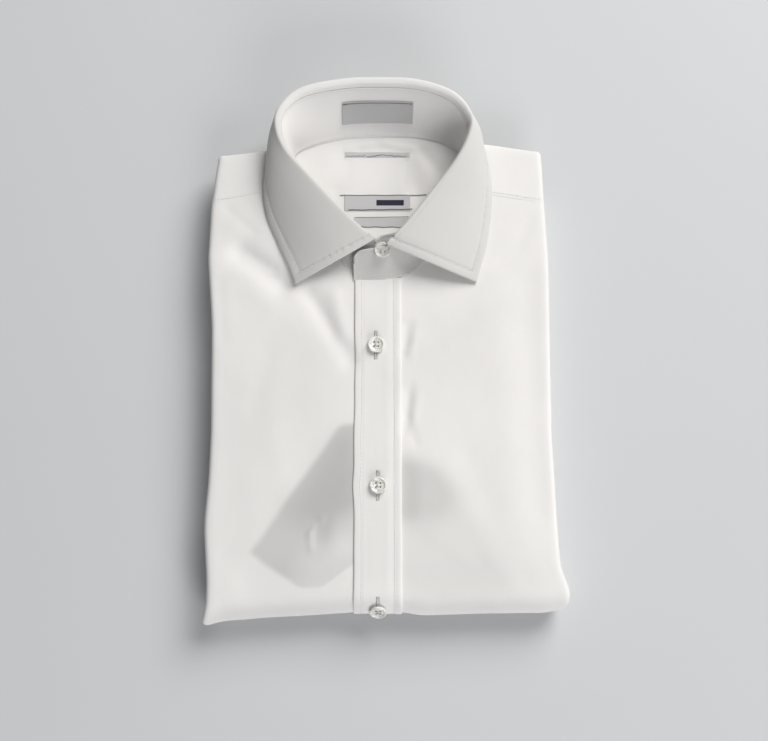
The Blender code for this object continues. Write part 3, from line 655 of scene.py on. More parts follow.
def new_group(name, inputs, outputs):
    group = bpy.data.node_groups.new(name, "ShaderNodeTree")
    for label, kind, default in inputs:
        socket = group.interface.new_socket(label, in_out="INPUT", socket_type=kind)
        socket.default_value = default
    for label, kind in outputs:
        group.interface.new_socket(label, in_out="OUTPUT", socket_type=kind)
    source = group.nodes.new("NodeGroupInput")
    sink = group.nodes.new("NodeGroupOutput")
    return group, source, sink


def node(tree, kind, **values):
    made = tree.nodes.new(kind)
    for key, value in values.items():
        if key.startswith("in_"):
            made.inputs[key[3:].replace("_", " ")].default_value = value
        else:
            setattr(made, key, value)
    return made


def math_node(tree, operation, first, second=None, third=None, clamp=False):
    made = tree.nodes.new("ShaderNodeMath")
    made.operation = operation
    made.use_clamp = clamp
    for index, value in enumerate((first, second, third)):
        if value is None:
            continue
        if isinstance(value, (int, float)):
            made.inputs[index].default_value = value
        else:
            tree.links.new(value, made.inputs[index])
    return made.outputs[0]


def ranged(tree, value, low, high):
    """A value from 0 to 1, spread between two others."""
    spread = node(tree, "ShaderNodeMapRange", in_To_Min=low, in_To_Max=high)
    tree.links.new(value, spread.inputs["Value"])
    return spread


def bumped(tree, height, strength, distance):
    bump = node(tree, "ShaderNodeBump", in_Strength=strength, in_Distance=distance)
    tree.links.new(height, bump.inputs["Height"])
    return bump


def frame_axes(tree):
    """X, Y and Z in the shirt's own frame."""
    place = node(tree, "ShaderNodeTexCoord")
    split = node(tree, "ShaderNodeSeparateXYZ")
    tree.links.new(place.outputs["Object"], split.inputs[0])
    return split.outputs


def new_material(name):
    material = bpy.data.materials.new(name)
    material.use_nodes = True
    return material, material.node_tree, material.node_tree.nodes["Principled BSDF"]


def weave_group():
    """Plain weave: two crossed sets of threads along the cloth's own directions, and slubs."""
    if "cloth_weave" in bpy.data.node_groups:
        return bpy.data.node_groups["cloth_weave"]
    group, source, sink = new_group(
        "cloth_weave",
        (("Vector", "NodeSocketVector", (0, 0, 0)), ("Pitch", "NodeSocketFloat", 0.0004)),
        (("Height", "NodeSocketFloat"), ("Slub", "NodeSocketFloat")))
    split = node(group, "ShaderNodeSeparateXYZ")
    group.links.new(source.outputs["Vector"], split.inputs[0])
    waves = []
    for axis in ("X", "Y"):
        turns = math_node(group, "DIVIDE", split.outputs[axis], source.outputs["Pitch"])
        waves.append(math_node(group, "SINE", math_node(group, "MULTIPLY", turns, math.pi)))
    squares = [math_node(group, "MULTIPLY", wave, wave) for wave in waves]
    over = math_node(group, "MULTIPLY", waves[0], waves[1])
    bumps = math_node(group, "MULTIPLY", squares[0], squares[1])
    height = math_node(group, "MULTIPLY_ADD", over, 0.35, bumps)
    group.links.new(height, sink.inputs["Height"])
    stretch = node(group, "ShaderNodeMapping", in_Scale=(900, 55, 1))
    group.links.new(source.outputs["Vector"], stretch.inputs["Vector"])
    slub = node(group, "ShaderNodeTexNoise", in_Scale=1.0, in_Detail=2.0)
    group.links.new(stretch.outputs[0], slub.inputs["Vector"])
    group.links.new(slub.outputs[0], sink.inputs["Slub"])
    return group


def rumple_group():
    """Soft unevenness of pressed cloth, in the shirt's own frame."""
    if "cloth_rumple" in bpy.data.node_groups:
        return bpy.data.node_groups["cloth_rumple"]
    group, source, sink = new_group(
        "cloth_rumple",
        (("Scale", "NodeSocketFloat", 40.0),),
        (("Height", "NodeSocketFloat"), ("Tone", "NodeSocketFloat")))
    place = node(group, "ShaderNodeTexCoord")
    wide = node(group, "ShaderNodeTexNoise", in_Detail=3.0, in_Roughness=0.45, in_Distortion=0.4)
    group.links.new(place.outputs["Object"], wide.inputs["Vector"])
    group.links.new(source.outputs["Scale"], wide.inputs["Scale"])
    tone = node(group, "ShaderNodeTexNoise", in_Scale=11.0, in_Detail=2.0)
    group.links.new(place.outputs["Object"], tone.inputs["Vector"])
    group.links.new(wide.outputs[0], sink.inputs["Height"])
    group.links.new(tone.outputs[0], sink.inputs["Tone"])
    return group


# Where darker cloth shows through the fronts, and a painted highlight and painted shade at one crease near
# the bottom fold: the corners of a convex patch in the frame's X and Y, clockwise, how soft its edges are,
# and its strength, which is below zero where it lightens
Patchwork = namedtuple("Patchwork", "corners soft strength")
SHOW_THROUGH_AND_CREASE_LIGHT = (
    Patchwork(((-26.0, -40.0), (-12.0, -39.0), (-12.0, -128.0), (-26.0, -140.0), (-37.0, -147.5),
               (-51.6, -147.4), (-84.5, -124.5)), 2.8, 0.54),
    Patchwork(((-26.0, -40.0), (-12.0, -39.0), (-12.0, -98.0), (-34.0, -112.0), (-66.0, -100.0)), 14.0, 0.3),
    # Painted highlight on the ridge of a crease
    Patchwork(((-47.0, -104.0), (-42.5, -104.0), (-42.5, -121.0), (-47.0, -121.0)), 2.8, -0.12),
    # Painted shade on the side of that crease
    Patchwork(((-38.5, -104.0), (-31.0, -103.0), (-31.0, -118.0), (-38.5, -118.0)), 5.0, 0.12),
    Patchwork(((-30.0, -99.0), (-12.0, -97.0), (-12.0, -124.0), (-29.0, -125.0)), 7.0, -0.2),
    Patchwork(((-44.0, -120.0), (-8.0, -112.0), (-8.0, -160.0), (-60.0, -162.0)), 14.0, -0.24),
    Patchwork(((12.0, -56.0), (20.0, -58.0), (49.0, -73.0), (62.0, -96.0), (96.0, -150.0), (40.0, -160.0),
               (12.0, -150.0)), 12.0, 0.20),
    Patchwork(((12.0, -56.0), (20.0, -58.0), (44.0, -70.0), (54.0, -90.0), (40.0, -106.0),
               (12.0, -104.0)), 11.0, 0.28),
    Patchwork(((14.0, -60.0), (26.0, -64.0), (27.0, -102.0), (14.0, -104.0)), 5.0, 0.16),
)
SHOW_WOBBLE = 0.003


def half_plane_group():
    """A soft step across a line: 0 before it and 1 behind it."""
    if "soft_line" in bpy.data.node_groups:
        return bpy.data.node_groups["soft_line"]
    group, source, sink = new_group(
        "soft_line",
        (("Vector", "NodeSocketVector", (0, 0, 0)), ("Across", "NodeSocketVector", (1, 0, 0)),
         ("Offset", "NodeSocketFloat", 0.0), ("Soft", "NodeSocketFloat", 0.001)),
        (("Mask", "NodeSocketFloat"),))
    across = node(group, "ShaderNodeVectorMath", operation="DOT_PRODUCT")
    group.links.new(source.outputs["Vector"], across.inputs[0])
    group.links.new(source.outputs["Across"], across.inputs[1])
    past = math_node(group, "SUBTRACT", across.outputs["Value"], source.outputs["Offset"])
    steps = math_node(group, "DIVIDE", past, source.outputs["Soft"])
    share = math_node(group, "MULTIPLY_ADD", steps, 0.5, 0.5)
    soft = node(group, "ShaderNodeMapRange", interpolation_type="SMOOTHSTEP")
    group.links.new(share, soft.inputs["Value"])
    group.links.new(soft.outputs[0], sink.inputs["Mask"])
    return group


def show_through_and_crease_light_mask(tree):
    """A soft mask of the darker patches and of the painted crease shade, less where the painted crease
    highlight lies, on the upper side only.
    """
    place = node(tree, "ShaderNodeTexCoord")
    wobble = node(tree, "ShaderNodeTexNoise", in_Scale=38.0, in_Detail=1.0)
    tree.links.new(place.outputs["Object"], wobble.inputs["Vector"])
    shift = node(tree, "ShaderNodeVectorMath", operation="SCALE", in_Scale=SHOW_WOBBLE)
    tree.links.new(wobble.outputs["Color"], shift.inputs[0])
    moved = node(tree, "ShaderNodeVectorMath", operation="ADD")
    tree.links.new(place.outputs["Object"], moved.inputs[0])
    tree.links.new(shift.outputs[0], moved.inputs[1])
    total = None
    for patch in SHOW_THROUGH_AND_CREASE_LIGHT:
        inside = None
        count = len(patch.corners)
        for k in range(count):
            a = Vector(patch.corners[k]) * MM
            b = Vector(patch.corners[(k + 1) % count]) * MM
            across = Vector((b.y - a.y, a.x - b.x)).normalized()
            line = node(tree, "ShaderNodeGroup", node_tree=half_plane_group())
            line.inputs["Across"].default_value = (across.x, across.y, 0)
            line.inputs["Offset"].default_value = across.dot(a) + SHOW_WOBBLE / 2 * (across.x + across.y)
            line.inputs["Soft"].default_value = patch.soft * MM
            tree.links.new(moved.outputs[0], line.inputs["Vector"])
            mask = line.outputs[0]
            inside = mask if inside is None else math_node(tree, "MULTIPLY", inside, mask)
        part = math_node(tree, "MULTIPLY", inside, patch.strength)
        total = part if total is None else math_node(tree, "ADD", total, part, clamp=True)
    high = math_node(tree, "GREATER_THAN", frame_axes(tree)["Z"], FOLD_R * MM)
    return math_node(tree, "MULTIPLY", total, high)


def fabric(name, colour, roughness=0.86, sheen=0.12, weave=0.25, rumple=0.25, pitch=None, masks=()):
    """Woven cloth: colour with soft changes of tone, weave and rumple as bump."""
    if name in bpy.data.materials:
        return bpy.data.materials[name]
    cloth = bpy.context.scene.shirt_cloth
    material, tree, shader = new_material(name)
    shader.inputs["Sheen Weight"].default_value = sheen
    shader.inputs["Sheen Roughness"].default_value = 0.5
    shader.inputs["IOR"].default_value = 1.45
    shader.inputs["Specular IOR Level"].default_value = 0.25
    uv = node(tree, "ShaderNodeUVMap", uv_map=UV_NAME)
    threads = node(tree, "ShaderNodeGroup", node_tree=weave_group())
    threads.inputs["Pitch"].default_value = pitch or cloth.thread_pitch
    tree.links.new(uv.outputs[0], threads.inputs["Vector"])
    soft = node(tree, "ShaderNodeGroup", node_tree=rumple_group())
    soft.inputs["Scale"].default_value = 42.0
    tone = ranged(tree, soft.outputs["Tone"], 0.955, 1.03)
    tone.inputs["From Min"].default_value = 0.3
    tone.inputs["From Max"].default_value = 0.7
    slub = ranged(tree, threads.outputs["Slub"], 0.985, 1.01)
    both = math_node(tree, "MULTIPLY", tone.outputs[0], slub.outputs[0])
    base = colour_of(tree, colour, masks)
    scaled = node(tree, "ShaderNodeVectorMath", operation="SCALE")
    tree.links.new(base, scaled.inputs[0])
    tree.links.new(both, scaled.inputs["Scale"])
    tree.links.new(scaled.outputs[0], shader.inputs["Base Color"])
    rough = ranged(tree, threads.outputs["Height"], roughness - 0.05, roughness + 0.05)
    tree.links.new(rough.outputs[0], shader.inputs["Roughness"])
    fine = bumped(tree, threads.outputs["Height"], weave, 0.00012)
    wide = bumped(tree, soft.outputs["Height"], rumple, 0.0012)
    tree.links.new(fine.outputs[0], wide.inputs["Normal"])
    tree.links.new(wide.outputs[0], shader.inputs["Normal"])
    return material


def mix_colours(tree, factor, first, second):
    """Two colours mixed by a factor. Each is a plain colour or a socket."""
    mixed = node(tree, "ShaderNodeMix", data_type="RGBA")
    for name, value in (("Factor", factor), ("A", first), ("B", second)):
        socket = next(one for one in mixed.inputs if one.name == name and (
            one.type == "RGBA" if name != "Factor" else one.type == "VALUE"))
        if isinstance(value, bpy.types.NodeSocket):
            tree.links.new(value, socket)
        elif name == "Factor":
            socket.default_value = value
        else:
            socket.default_value = (*value, 1)
    return next(one for one in mixed.outputs if one.type == "RGBA")


def colour_of(tree, colour, masks):
    """A plain colour, with another colour mixed in by each mask."""
    mixed = mix_colours(tree, 0.0, colour, colour)
    for mask, second in masks:
        mixed = mix_colours(tree, mask(tree), mixed, second)
    return mixed


def shirting():
    return fabric("shirting", tuple(bpy.context.scene.shirt_cloth.white))


# White shirting with painted shade on the leaf's front.
def collar_shirting():
    cloth = bpy.context.scene.shirt_cloth
    return fabric("collar_shirting", tuple(cloth.white), masks=((leaf_front_shade, tuple(cloth.collar)),))


def front_mask(tree, none_y, full_y):
    """0 behind one level of the frame's Y, fading to 1 at another one in front of it, in millimetres."""
    fade = node(tree, "ShaderNodeMapRange", interpolation_type="SMOOTHSTEP",
                in_From_Min=none_y * MM, in_From_Max=full_y * MM)
    tree.links.new(frame_axes(tree)["Y"], fade.inputs["Value"])
    return fade.outputs[0]


# Levels of the frame's Y where the painted shade on the collar's front begins and where it is full; the
# band's front, in the leaf's shadow, is painted a little darker still
BAND_SHADE_FADE = (150.0, 85.0)
LEAF_SHADE_FADE = (190.0, 160.0)
BAND_SHADE_TONE = 0.95


def band_front_shade(tree):
    return front_mask(tree, *BAND_SHADE_FADE)


def leaf_front_shade(tree):
    return front_mask(tree, *LEAF_SHADE_FADE)


# White shirting with painted shade on the band's front, where the leaf shades it.
def band_shirting():
    cloth = bpy.context.scene.shirt_cloth
    front = tuple(c * BAND_SHADE_TONE for c in cloth.collar)
    return fabric("band_shirting", tuple(cloth.white), masks=((band_front_shade, front),))


def front_shirting():
    cloth = bpy.context.scene.shirt_cloth
    return fabric("front_shirting", tuple(cloth.white), masks=((show_through_and_crease_light_mask, tuple(cloth.shade)),))


def thread_material(name, colour):
    """Twisted sewing thread."""
    if name in bpy.data.materials:
        return bpy.data.materials[name]
    material, tree, shader = new_material(name)
    shader.inputs["Sheen Weight"].default_value = 0.2
    place = node(tree, "ShaderNodeTexCoord")
    twist = node(tree, "ShaderNodeTexWave", in_Scale=900.0, in_Distortion=1.5, bands_direction="DIAGONAL")
    tree.links.new(place.outputs["Object"], twist.inputs["Vector"])
    tint = mix_colours(tree, twist.outputs["Fac"], [c * 0.85 for c in colour], colour)
    tree.links.new(tint, shader.inputs["Base Color"])
    rough = ranged(tree, twist.outputs["Fac"], 0.5, 0.65)
    tree.links.new(rough.outputs[0], shader.inputs["Roughness"])
    bump = bumped(tree, twist.outputs["Fac"], 0.3, 0.0001)
    tree.links.new(bump.outputs[0], shader.inputs["Normal"])
    return material


def pearl_material(name="pearl_resin", tone=1.0, coat=0.6, roughness=0.18):
    """Pearly resin: cloudy layers under a clear polish."""
    if name in bpy.data.materials:
        return bpy.data.materials[name]
    pearl = tuple(c * tone for c in bpy.context.scene.shirt_trims.pearl)
    material, tree, shader = new_material(name)
    shader.inputs["Coat Roughness"].default_value = 0.12
    shader.inputs["Coat Weight"].default_value = coat
    shader.inputs["Subsurface Weight"].default_value = 0.15
    shader.inputs["Subsurface Radius"].default_value = (0.002, 0.0018, 0.0014)
    place = node(tree, "ShaderNodeTexCoord")
    cloud = node(tree, "ShaderNodeTexNoise", in_Scale=260.0, in_Detail=4.0, in_Distortion=2.2)
    tree.links.new(place.outputs["Object"], cloud.inputs["Vector"])
    ramp = node(tree, "ShaderNodeValToRGB")
    ramp.color_ramp.elements[0].position = 0.32
    ramp.color_ramp.elements[0].color = (*[c * 0.72 for c in pearl], 1)
    ramp.color_ramp.elements[1].position = 0.68
    ramp.color_ramp.elements[1].color = (*[min(c * 1.18, 1.0) for c in pearl], 1)
    tree.links.new(cloud.outputs[0], ramp.inputs[0])
    tree.links.new(ramp.outputs[0], shader.inputs["Base Color"])
    rough = ranged(tree, cloud.outputs[0], roughness, roughness + 0.16)
    tree.links.new(rough.outputs[0], shader.inputs["Roughness"])
    bump = bumped(tree, cloud.outputs[0], 0.1, 0.0002)
    tree.links.new(bump.outputs[0], shader.inputs["Normal"])
    return material


# The pieces

UNDER_YOKE = 2.0
UNDER_BAND = 1.2
SIDE_TURNS = 16
FRONT_STEP = 1.8


def front_columns(side, s, first, end):
    """Points of the rows s from the inner edge, round the side fold, to the tuck."""
    flat = spaced(110.0, FRONT_STEP)
    turns = np.linspace(0, math.pi, SIDE_TURNS + 1)[1:]
    tucks = np.linspace(0, TUCK, 6)[1:]
    s_flat = s(first[:, None] + (end - first)[:, None] * flat[None, :])
    c_flat = first[:, None] + (end - first)[:, None] * flat[None, :]
    flat_points = skin(side, s_flat, c_flat)
    s_end = s(end[:, None])
    turned = skin(side, s_end + 0 * turns[None, :], end[:, None] + 0 * turns[None, :], turn=turns[None, :])
    tucked = skin(side, s_end + 0 * tucks[None, :], end[:, None] + 0 * tucks[None, :], turn=math.pi,
                  tuck=tucks[None, :])
    return np.concatenate((flat_points, turned, tucked), axis=1)


def front_grid(side, inner):
    """A front, from the yoke seam past the neck and round the bottom fold to the underside's end."""
    seam = YOKE_SEAM_NECK_Y + UNDER_YOKE
    shares = spaced(seam - NECK_FRONT_Y, FRONT_STEP)[::-1][:-4]
    neck_y = NECK_FRONT_Y + (seam - NECK_FRONT_Y) * shares
    edge = np.maximum(neck_x(side, neck_y) - UNDER_BAND, NECK_EDGE_LEAST)
    end = half_width(side, neck_y - FOLD_Y) - EDGE_R
    upper = front_columns(
        side,
        lambda c: neck_y[:, None] - (YOKE_SEAM_NECK_Y - yoke_seam_y(c)) * smooth(shares)[:, None] - FOLD_Y,
        edge, end)
    length = NECK_FRONT_Y - FOLD_Y + math.pi * FOLD_R + UNDER_END - FOLD_Y
    s = NECK_FRONT_Y - FOLD_Y - length * spaced(length, FRONT_STEP)[3:]
    lower = front_columns(
        side, lambda c: s[:, None] + 0 * c, np.full(len(s), inner), half_width(side, s) - EDGE_R)
    return np.concatenate((upper, lower))


def roughen(points, flip, seed):
    """Adds the cloth's soft unevenness along the normals, and keeps the underside above the table."""
    height = bpy.context.scene.shirt_cloth.unevenness / MM
    normals = grid_normals(points) * (-1 if flip else 1)
    bumps = uneven(points, 34.0, seed) + 0.5 * uneven(points, 13.0, seed + 1)
    points = points + normals * (height * bumps)[..., None]
    points[..., 2] = np.maximum(points[..., 2], TABLE_CLEAR)
    return points


def make_fronts():
    thick = bpy.context.scene.shirt_cloth.thickness / MM
    for name, side, inner in (("front_right", -1, -FRONT_MEET), ("front_left", 1, FRONT_MEET + CLEAR)):
        points = front_grid(side, inner)
        points = roughen(points, side > 0, 3 if side > 0 else 8)
        thing = shell(name, points, thick, front_shirting(), flip=side > 0)
        belongs(thing, "white_cloth", name)
        width = (half_width(side, np.array(0.0)) - EDGE_R - inner + math.pi * EDGE_R + TUCK) * MM


PLACKET_TOP_Y = 62.4
PLACKET_WALL = 0.95
PLACKET_GAP = 0.06
PLACKET_TRIM = 1.0
PLACKET_STITCH = 5.3
PLACKET_ROUND = 0.9
PLACKET_PUCKER = 0.10
PLACKET_TROUGH = 0.12
PLACKET_TROUGH_HALF = 0.75
PLACKET_RIM_HALF = 1.6
PLACKET_MOST_RISE = 0.3
PLACKET_PULL = 0.7
PLACKET_PULL_HALF = 9.0
PLACKET_WANDER_REACH = 6.0
Ridge = namedtuple("Ridge", "x half height")
PLACKET_RIDGES = (
    Ridge(-11.4, 1.6, 0.2),
    Ridge(5.2, 2.6, 0.16),
    Ridge(9.0, 2.0, -0.16),
    Ridge(12.8, 1.6, 0.12),
)
PLACKET_WIDTH = PLACKET_RIGHT - PLACKET_LEFT
PLACKET_LENGTH = PLACKET_TOP_Y - FOLD_Y + math.pi * FOLD_R + UNDER_END - FOLD_Y


def placket_columns():
    return PLACKET_LEFT + (PLACKET_WIDTH - PLACKET_TRIM) * spaced(PLACKET_WIDTH, 1.0)


def placket_rows():
    return PLACKET_TOP_Y - FOLD_Y - PLACKET_LENGTH * spaced(PLACKET_LENGTH, 1.7)


def on_placket(x, s):
    """Points and normals of the placket's outer face at x and a distance s above the bottom fold."""
    columns = placket_columns()
    rows = placket_rows()
    return on_surface("placket", np.interp(-np.asarray(s), -rows, np.arange(len(rows))),
                      np.interp(np.asarray(x), columns, np.arange(len(columns))))


def make_placket():
    """The buttonhole strip: rounded edges, two stitch troughs and soft ridges of its interlining."""
    x = placket_columns()
    s = placket_rows()
    edge = np.minimum(x - PLACKET_LEFT, PLACKET_RIGHT - PLACKET_TRIM - x)[None, :]
    round_off = 1 - np.sqrt(1 - (1 - np.clip(edge / PLACKET_ROUND, 0, 1)) ** 2)
    pucker = PLACKET_PUCKER * np.sin(s[:, None] * 1.5 + 1.3 * np.sin(s[:, None] * 0.21))
    near = np.exp(-((edge - PLACKET_STITCH) / PLACKET_TROUGH_HALF) ** 2)
    rim = np.exp(-((edge - PLACKET_STITCH * 0.5) / PLACKET_RIM_HALF) ** 2)
    rise = -PLACKET_TROUGH * near * (1 + 0.8 * (x < 0)) + 0.05 * rim + pucker * rim * 0.7
    for ridge in PLACKET_RIDGES:
        wander = 0.5 * np.sin(s[:, None] * 0.045 + ridge.x)
        rise = rise + ridge.height * np.exp(-((x[None, :] - ridge.x - wander) / ridge.half) ** 2) * 0.6
    top = 1 - under_share(s)[:, None]
    out = (PLACKET_GAP + PLACKET_WALL - 0.5 * round_off
           + np.minimum(rise, PLACKET_MOST_RISE) * top + np.minimum(rise, 0) * (1 - top))
    grid_s = s[:, None] + 0 * x[None, :]
    at_middle_button = np.exp(-((s[:, None] - (BUTTON_MIDDLE_AT[1] - FOLD_Y)) / PLACKET_PULL_HALF) ** 2)
    wander = (0.25 * np.sin(grid_s * 0.055) + 0.12 * np.sin(grid_s * 0.17)) * (1 - under_share(grid_s))
    wander = wander - PLACKET_PULL * at_middle_button
    from_left = x[None, :] - PLACKET_LEFT
    pulled = wander * smooth((PLACKET_WANDER_REACH - from_left) / PLACKET_WANDER_REACH)
    left = skin(-1, grid_s, -(x[None, :] + pulled), out=out)
    points = roughen(left, True, 5)
    thing = shell("placket", points, PLACKET_WALL, shirting(), flip=True, rims={"l": 1.2, "r": 2.2, "t": 1.2})
    belongs(thing, "white_cloth", "placket")


LAP = 1.1
LAP_RISE = {-1: 0.12, 1: 0.28}
YOKE_CORNER = 0.55
YOKE_STITCH = 2.4


def yoke_half(side):
    """One shoulder of the yoke: flat, then turned round the side and over the shoulder."""
    up = spaced(YOKE_DEPTH, 1.3)[:-3]
    up = up / up[-1]
    turns = np.linspace(0, YOKE_WRAP, 15)[1:]
    over = np.concatenate((np.zeros(len(up)), turns))[:, None]
    up = np.concatenate((up, np.ones(len(turns))))[:, None]
    flat = spaced(48.0, 1.8)[:-3]
    flat = flat / flat[-1]
    round_side = np.concatenate((np.zeros(len(flat)), turns))[None, :]
    in_out = np.concatenate((flat, np.ones(len(turns))))[None, :]
    rough_y = YOKE_SEAM_NECK_Y + up * YOKE_DEPTH
    along_neck = neck_x(side, np.minimum(rough_y, YOKE_NECK_TOP_Y)) - UNDER_BAND * 0.5
    inner = np.where(up < 1, along_neck, YOKE_NECK_INNER)
    end = half_width(side, rough_y - FOLD_Y) - EDGE_R
    c = inner + (end - inner) * in_out
    low = yoke_seam_y(c) - LAP
    high = table(SHOULDER, "edge_y", "x", side * c) - EDGE_R
    y = low + (high - low) * up
    steep = np.maximum(round_side, over)
    smaller = np.minimum(round_side, over) / np.maximum(steep, 1e-9)
    swing = math.pi / 4 * smaller
    swing = np.where(round_side >= over, swing, math.pi / 2 - swing)
    swing = np.where(steep > 0, swing, 0.0)
    reach, drop = (EDGE_R * part for part in edge_profile(steep))
    away = np.hypot(c - NECK_POINT[0], y - NECK_POINT[1])
    dip = NECK_DIP * np.exp(-(away / NECK_DIP_REACH) ** 2)
    from_seam = y - low
    lap = LAP_RISE[side] * (1 - smooth((from_seam - 1.2) / 5.0))
    trough = -0.3 * LAP_RISE[side] * np.exp(-((from_seam - YOKE_STITCH) / 0.7) ** 2)
    upright = np.maximum(np.cos(steep / 2), 0.0)
    lift = (relief(side * c, y) - dip) * upright + (lap + trough) * np.where(over > 0, 0, 1)
    x = side * (c + reach * np.cos(swing) ** YOKE_CORNER)
    return np.stack((x, y + reach * np.sin(swing) ** YOKE_CORNER, STACK + lift - drop), axis=-1), len(turns)


def make_yoke():
    """Both shoulders, and the strip behind the neck that joins them under the band."""
    thick = bpy.context.scene.shirt_cloth.thickness / MM
    halves = {}
    for side in (-1, 1):
        points, turned = yoke_half(side)
        halves[side] = points
        name = "yoke_right_shoulder" if side < 0 else "yoke_left_shoulder"
        points = roughen(points, side > 0, 12 + side)
        thing = shell(name, points, thick, shirting(), flip=side < 0, rims={"t": 1.4})
        belongs(thing, "white_cloth", "yoke")
    rows = slice(-turned - 1, None)
    left = halves[-1][rows, 0]
    right = halves[1][rows, 0]
    shares = spaced(120.0, 2.4)[None, :, None]
    middle = left[:, None] + (right - left)[:, None] * shares
    sink = table(YOKE_BRIDGE, "sink", "share", shares[..., 0], soften=0.01)
    deep = (STACK - middle[..., 2]) / (2 * EDGE_R)
    middle[..., 2] -= sink * np.maximum(1 - deep, 0.0)
    thing = shell("yoke_back", middle, thick, shirting())
    belongs(thing, "white_cloth", "yoke")


def back_neck_y(x):
    t = np.linspace(0.32, 0.72, 321)
    base = collar_at(t)[0]
    order = np.argsort(base[:, 0])
    return np.interp(x, base[order, 0], base[order, 1]) + UNDER_BAND


def inner_yoke_z(x, y):
    """The inner yoke's upper face: a shallow dish that rises to the neck seam."""
    across = np.cos(np.minimum(np.abs(x) / 60.0, 1) * math.pi / 2)
    along = np.sin(np.clip((y - 70.0) / 97.0, 0, 1) * math.pi)
    return INNER_YOKE_TOP - INNER_YOKE_DISH * across * along


# Wrinkles of the inner yoke, between the labels and the seam
NECK_CREASES = (
    Crease(-23, 159.5, -8, 163.5, 2.0, 0.8),
    Crease(-15, 158.4, 6, 160.6, 1.9, -0.7),
    Crease(4, 163, 23, 159.4, 2.2, 0.8),
    Crease(10, 158.6, 22, 157.4, 1.8, -0.5),
    Crease(30, 158, 44, 142, 4, -0.6),
    Crease(28, 150, 40, 128, 5, 0.5),
    Crease(-34, 150, -44, 126, 5, 0.4),
    Crease(26, 132, 30, 112, 4, -0.5),
    Crease(-30, 128, -28, 104, 4, -0.45),
)


def inner_yoke_lift(x, y):
    return creased(0.0, NECK_CREASES, x, y)


def make_inner_yoke():
    thick = bpy.context.scene.shirt_cloth.thickness / MM
    share = spaced(112.0, 1.9)[:, None]
    across = (spaced(130.0, 1.9) * 2 - 1)[None, :]
    level_y = INNER_YOKE_FRONT_Y + share * (back_neck_y(0.0) - INNER_YOKE_FRONT_Y)
    narrow = smooth((level_y - 118.0) / 16.0)
    half = np.zeros_like(level_y + across)
    for side in (-1, 1):
        along_neck = neck_x(side, np.minimum(level_y, 152.0)) + 0.4
        here = INNER_YOKE_HALF + (along_neck - INNER_YOKE_HALF) * narrow
        half = np.where(np.sign(across) == side, here + 0 * across, half)
    x = across * half
    y = INNER_YOKE_FRONT_Y + share * (back_neck_y(x) - INNER_YOKE_FRONT_Y)
    z = inner_yoke_z(x, y) + inner_yoke_lift(x, y)
    points = np.stack((x, y, z), axis=-1)
    thing = shell("inner_yoke", points, thick, shirting())
    belongs(thing, "white_cloth", "inner_yoke")


UNDER_TAB_BEND = 0.24
TAB_ROWS = 34
TAB_EASE = 14
TAB_EASE_HALF = 7
BAND_STITCH = 1.9
BAND_TAPER = 2.6
BAND_FLARE_FRONT = 0.5
BAND_FLARE_BACK = 0.15
BAND_FLARE_Y = 100.0
BAND_FLARE_FADE = 30.0


def band_pairs():
    """Lower and upper edge of the band, from its end underneath round to its end on top."""
    first_base, first_top = collar_at(0.0)[0], band_top(0.0)
    last_base, last_top = collar_at(1.0)[0], band_top(1.0)
    under = np.array(UNDER_TAB, dtype=float)
    over = np.array(OVER_TAB, dtype=float)
    bases = []
    tops = []
    risen = np.array(UNDER_TAB_RISE, dtype=float)
    for share in spaced(17.0, 1.0)[::-1][:-1]:
        bases.append(first_base + (under[:3] - first_base) * share)
        near = smooth(np.array(share / UNDER_TAB_BEND))
        past = max(share - UNDER_TAB_BEND, 0)
        tops.append(first_top + (risen[3:] - first_top) * near
                    + (under[3:] - risen[3:]) * past / (1 - UNDER_TAB_BEND))
    t = np.linspace(0, 1, 300)[:-1]
    bases += list(collar_at(t)[0])
    tops += list(band_top(t))
    length = float(np.linalg.norm(over[:3] - last_base))
    joint = len(bases)
    for share in spaced(length, 0.8):
        left = (1 - share) * length
        base = last_base + (over[:3] - last_base) * share
        top = last_top + (over[3:] - last_top) * share
        cut = TAB_CORNER - math.sqrt(max(TAB_CORNER ** 2 - max(TAB_CORNER - left, 0) ** 2, 0))
        height = float(np.linalg.norm(top - base))
        bases.append(base)
        tops.append(base + (top - base) * (1 - cut / height))
    bases, tops = np.array(bases), np.array(tops)
    eased = range(joint - TAB_EASE, joint + TAB_EASE)
    for line in (bases, tops):
        line[eased] = [line[i - TAB_EASE_HALF:i + TAB_EASE_HALF + 1].mean(axis=0) for i in eased]
    return bases, tops


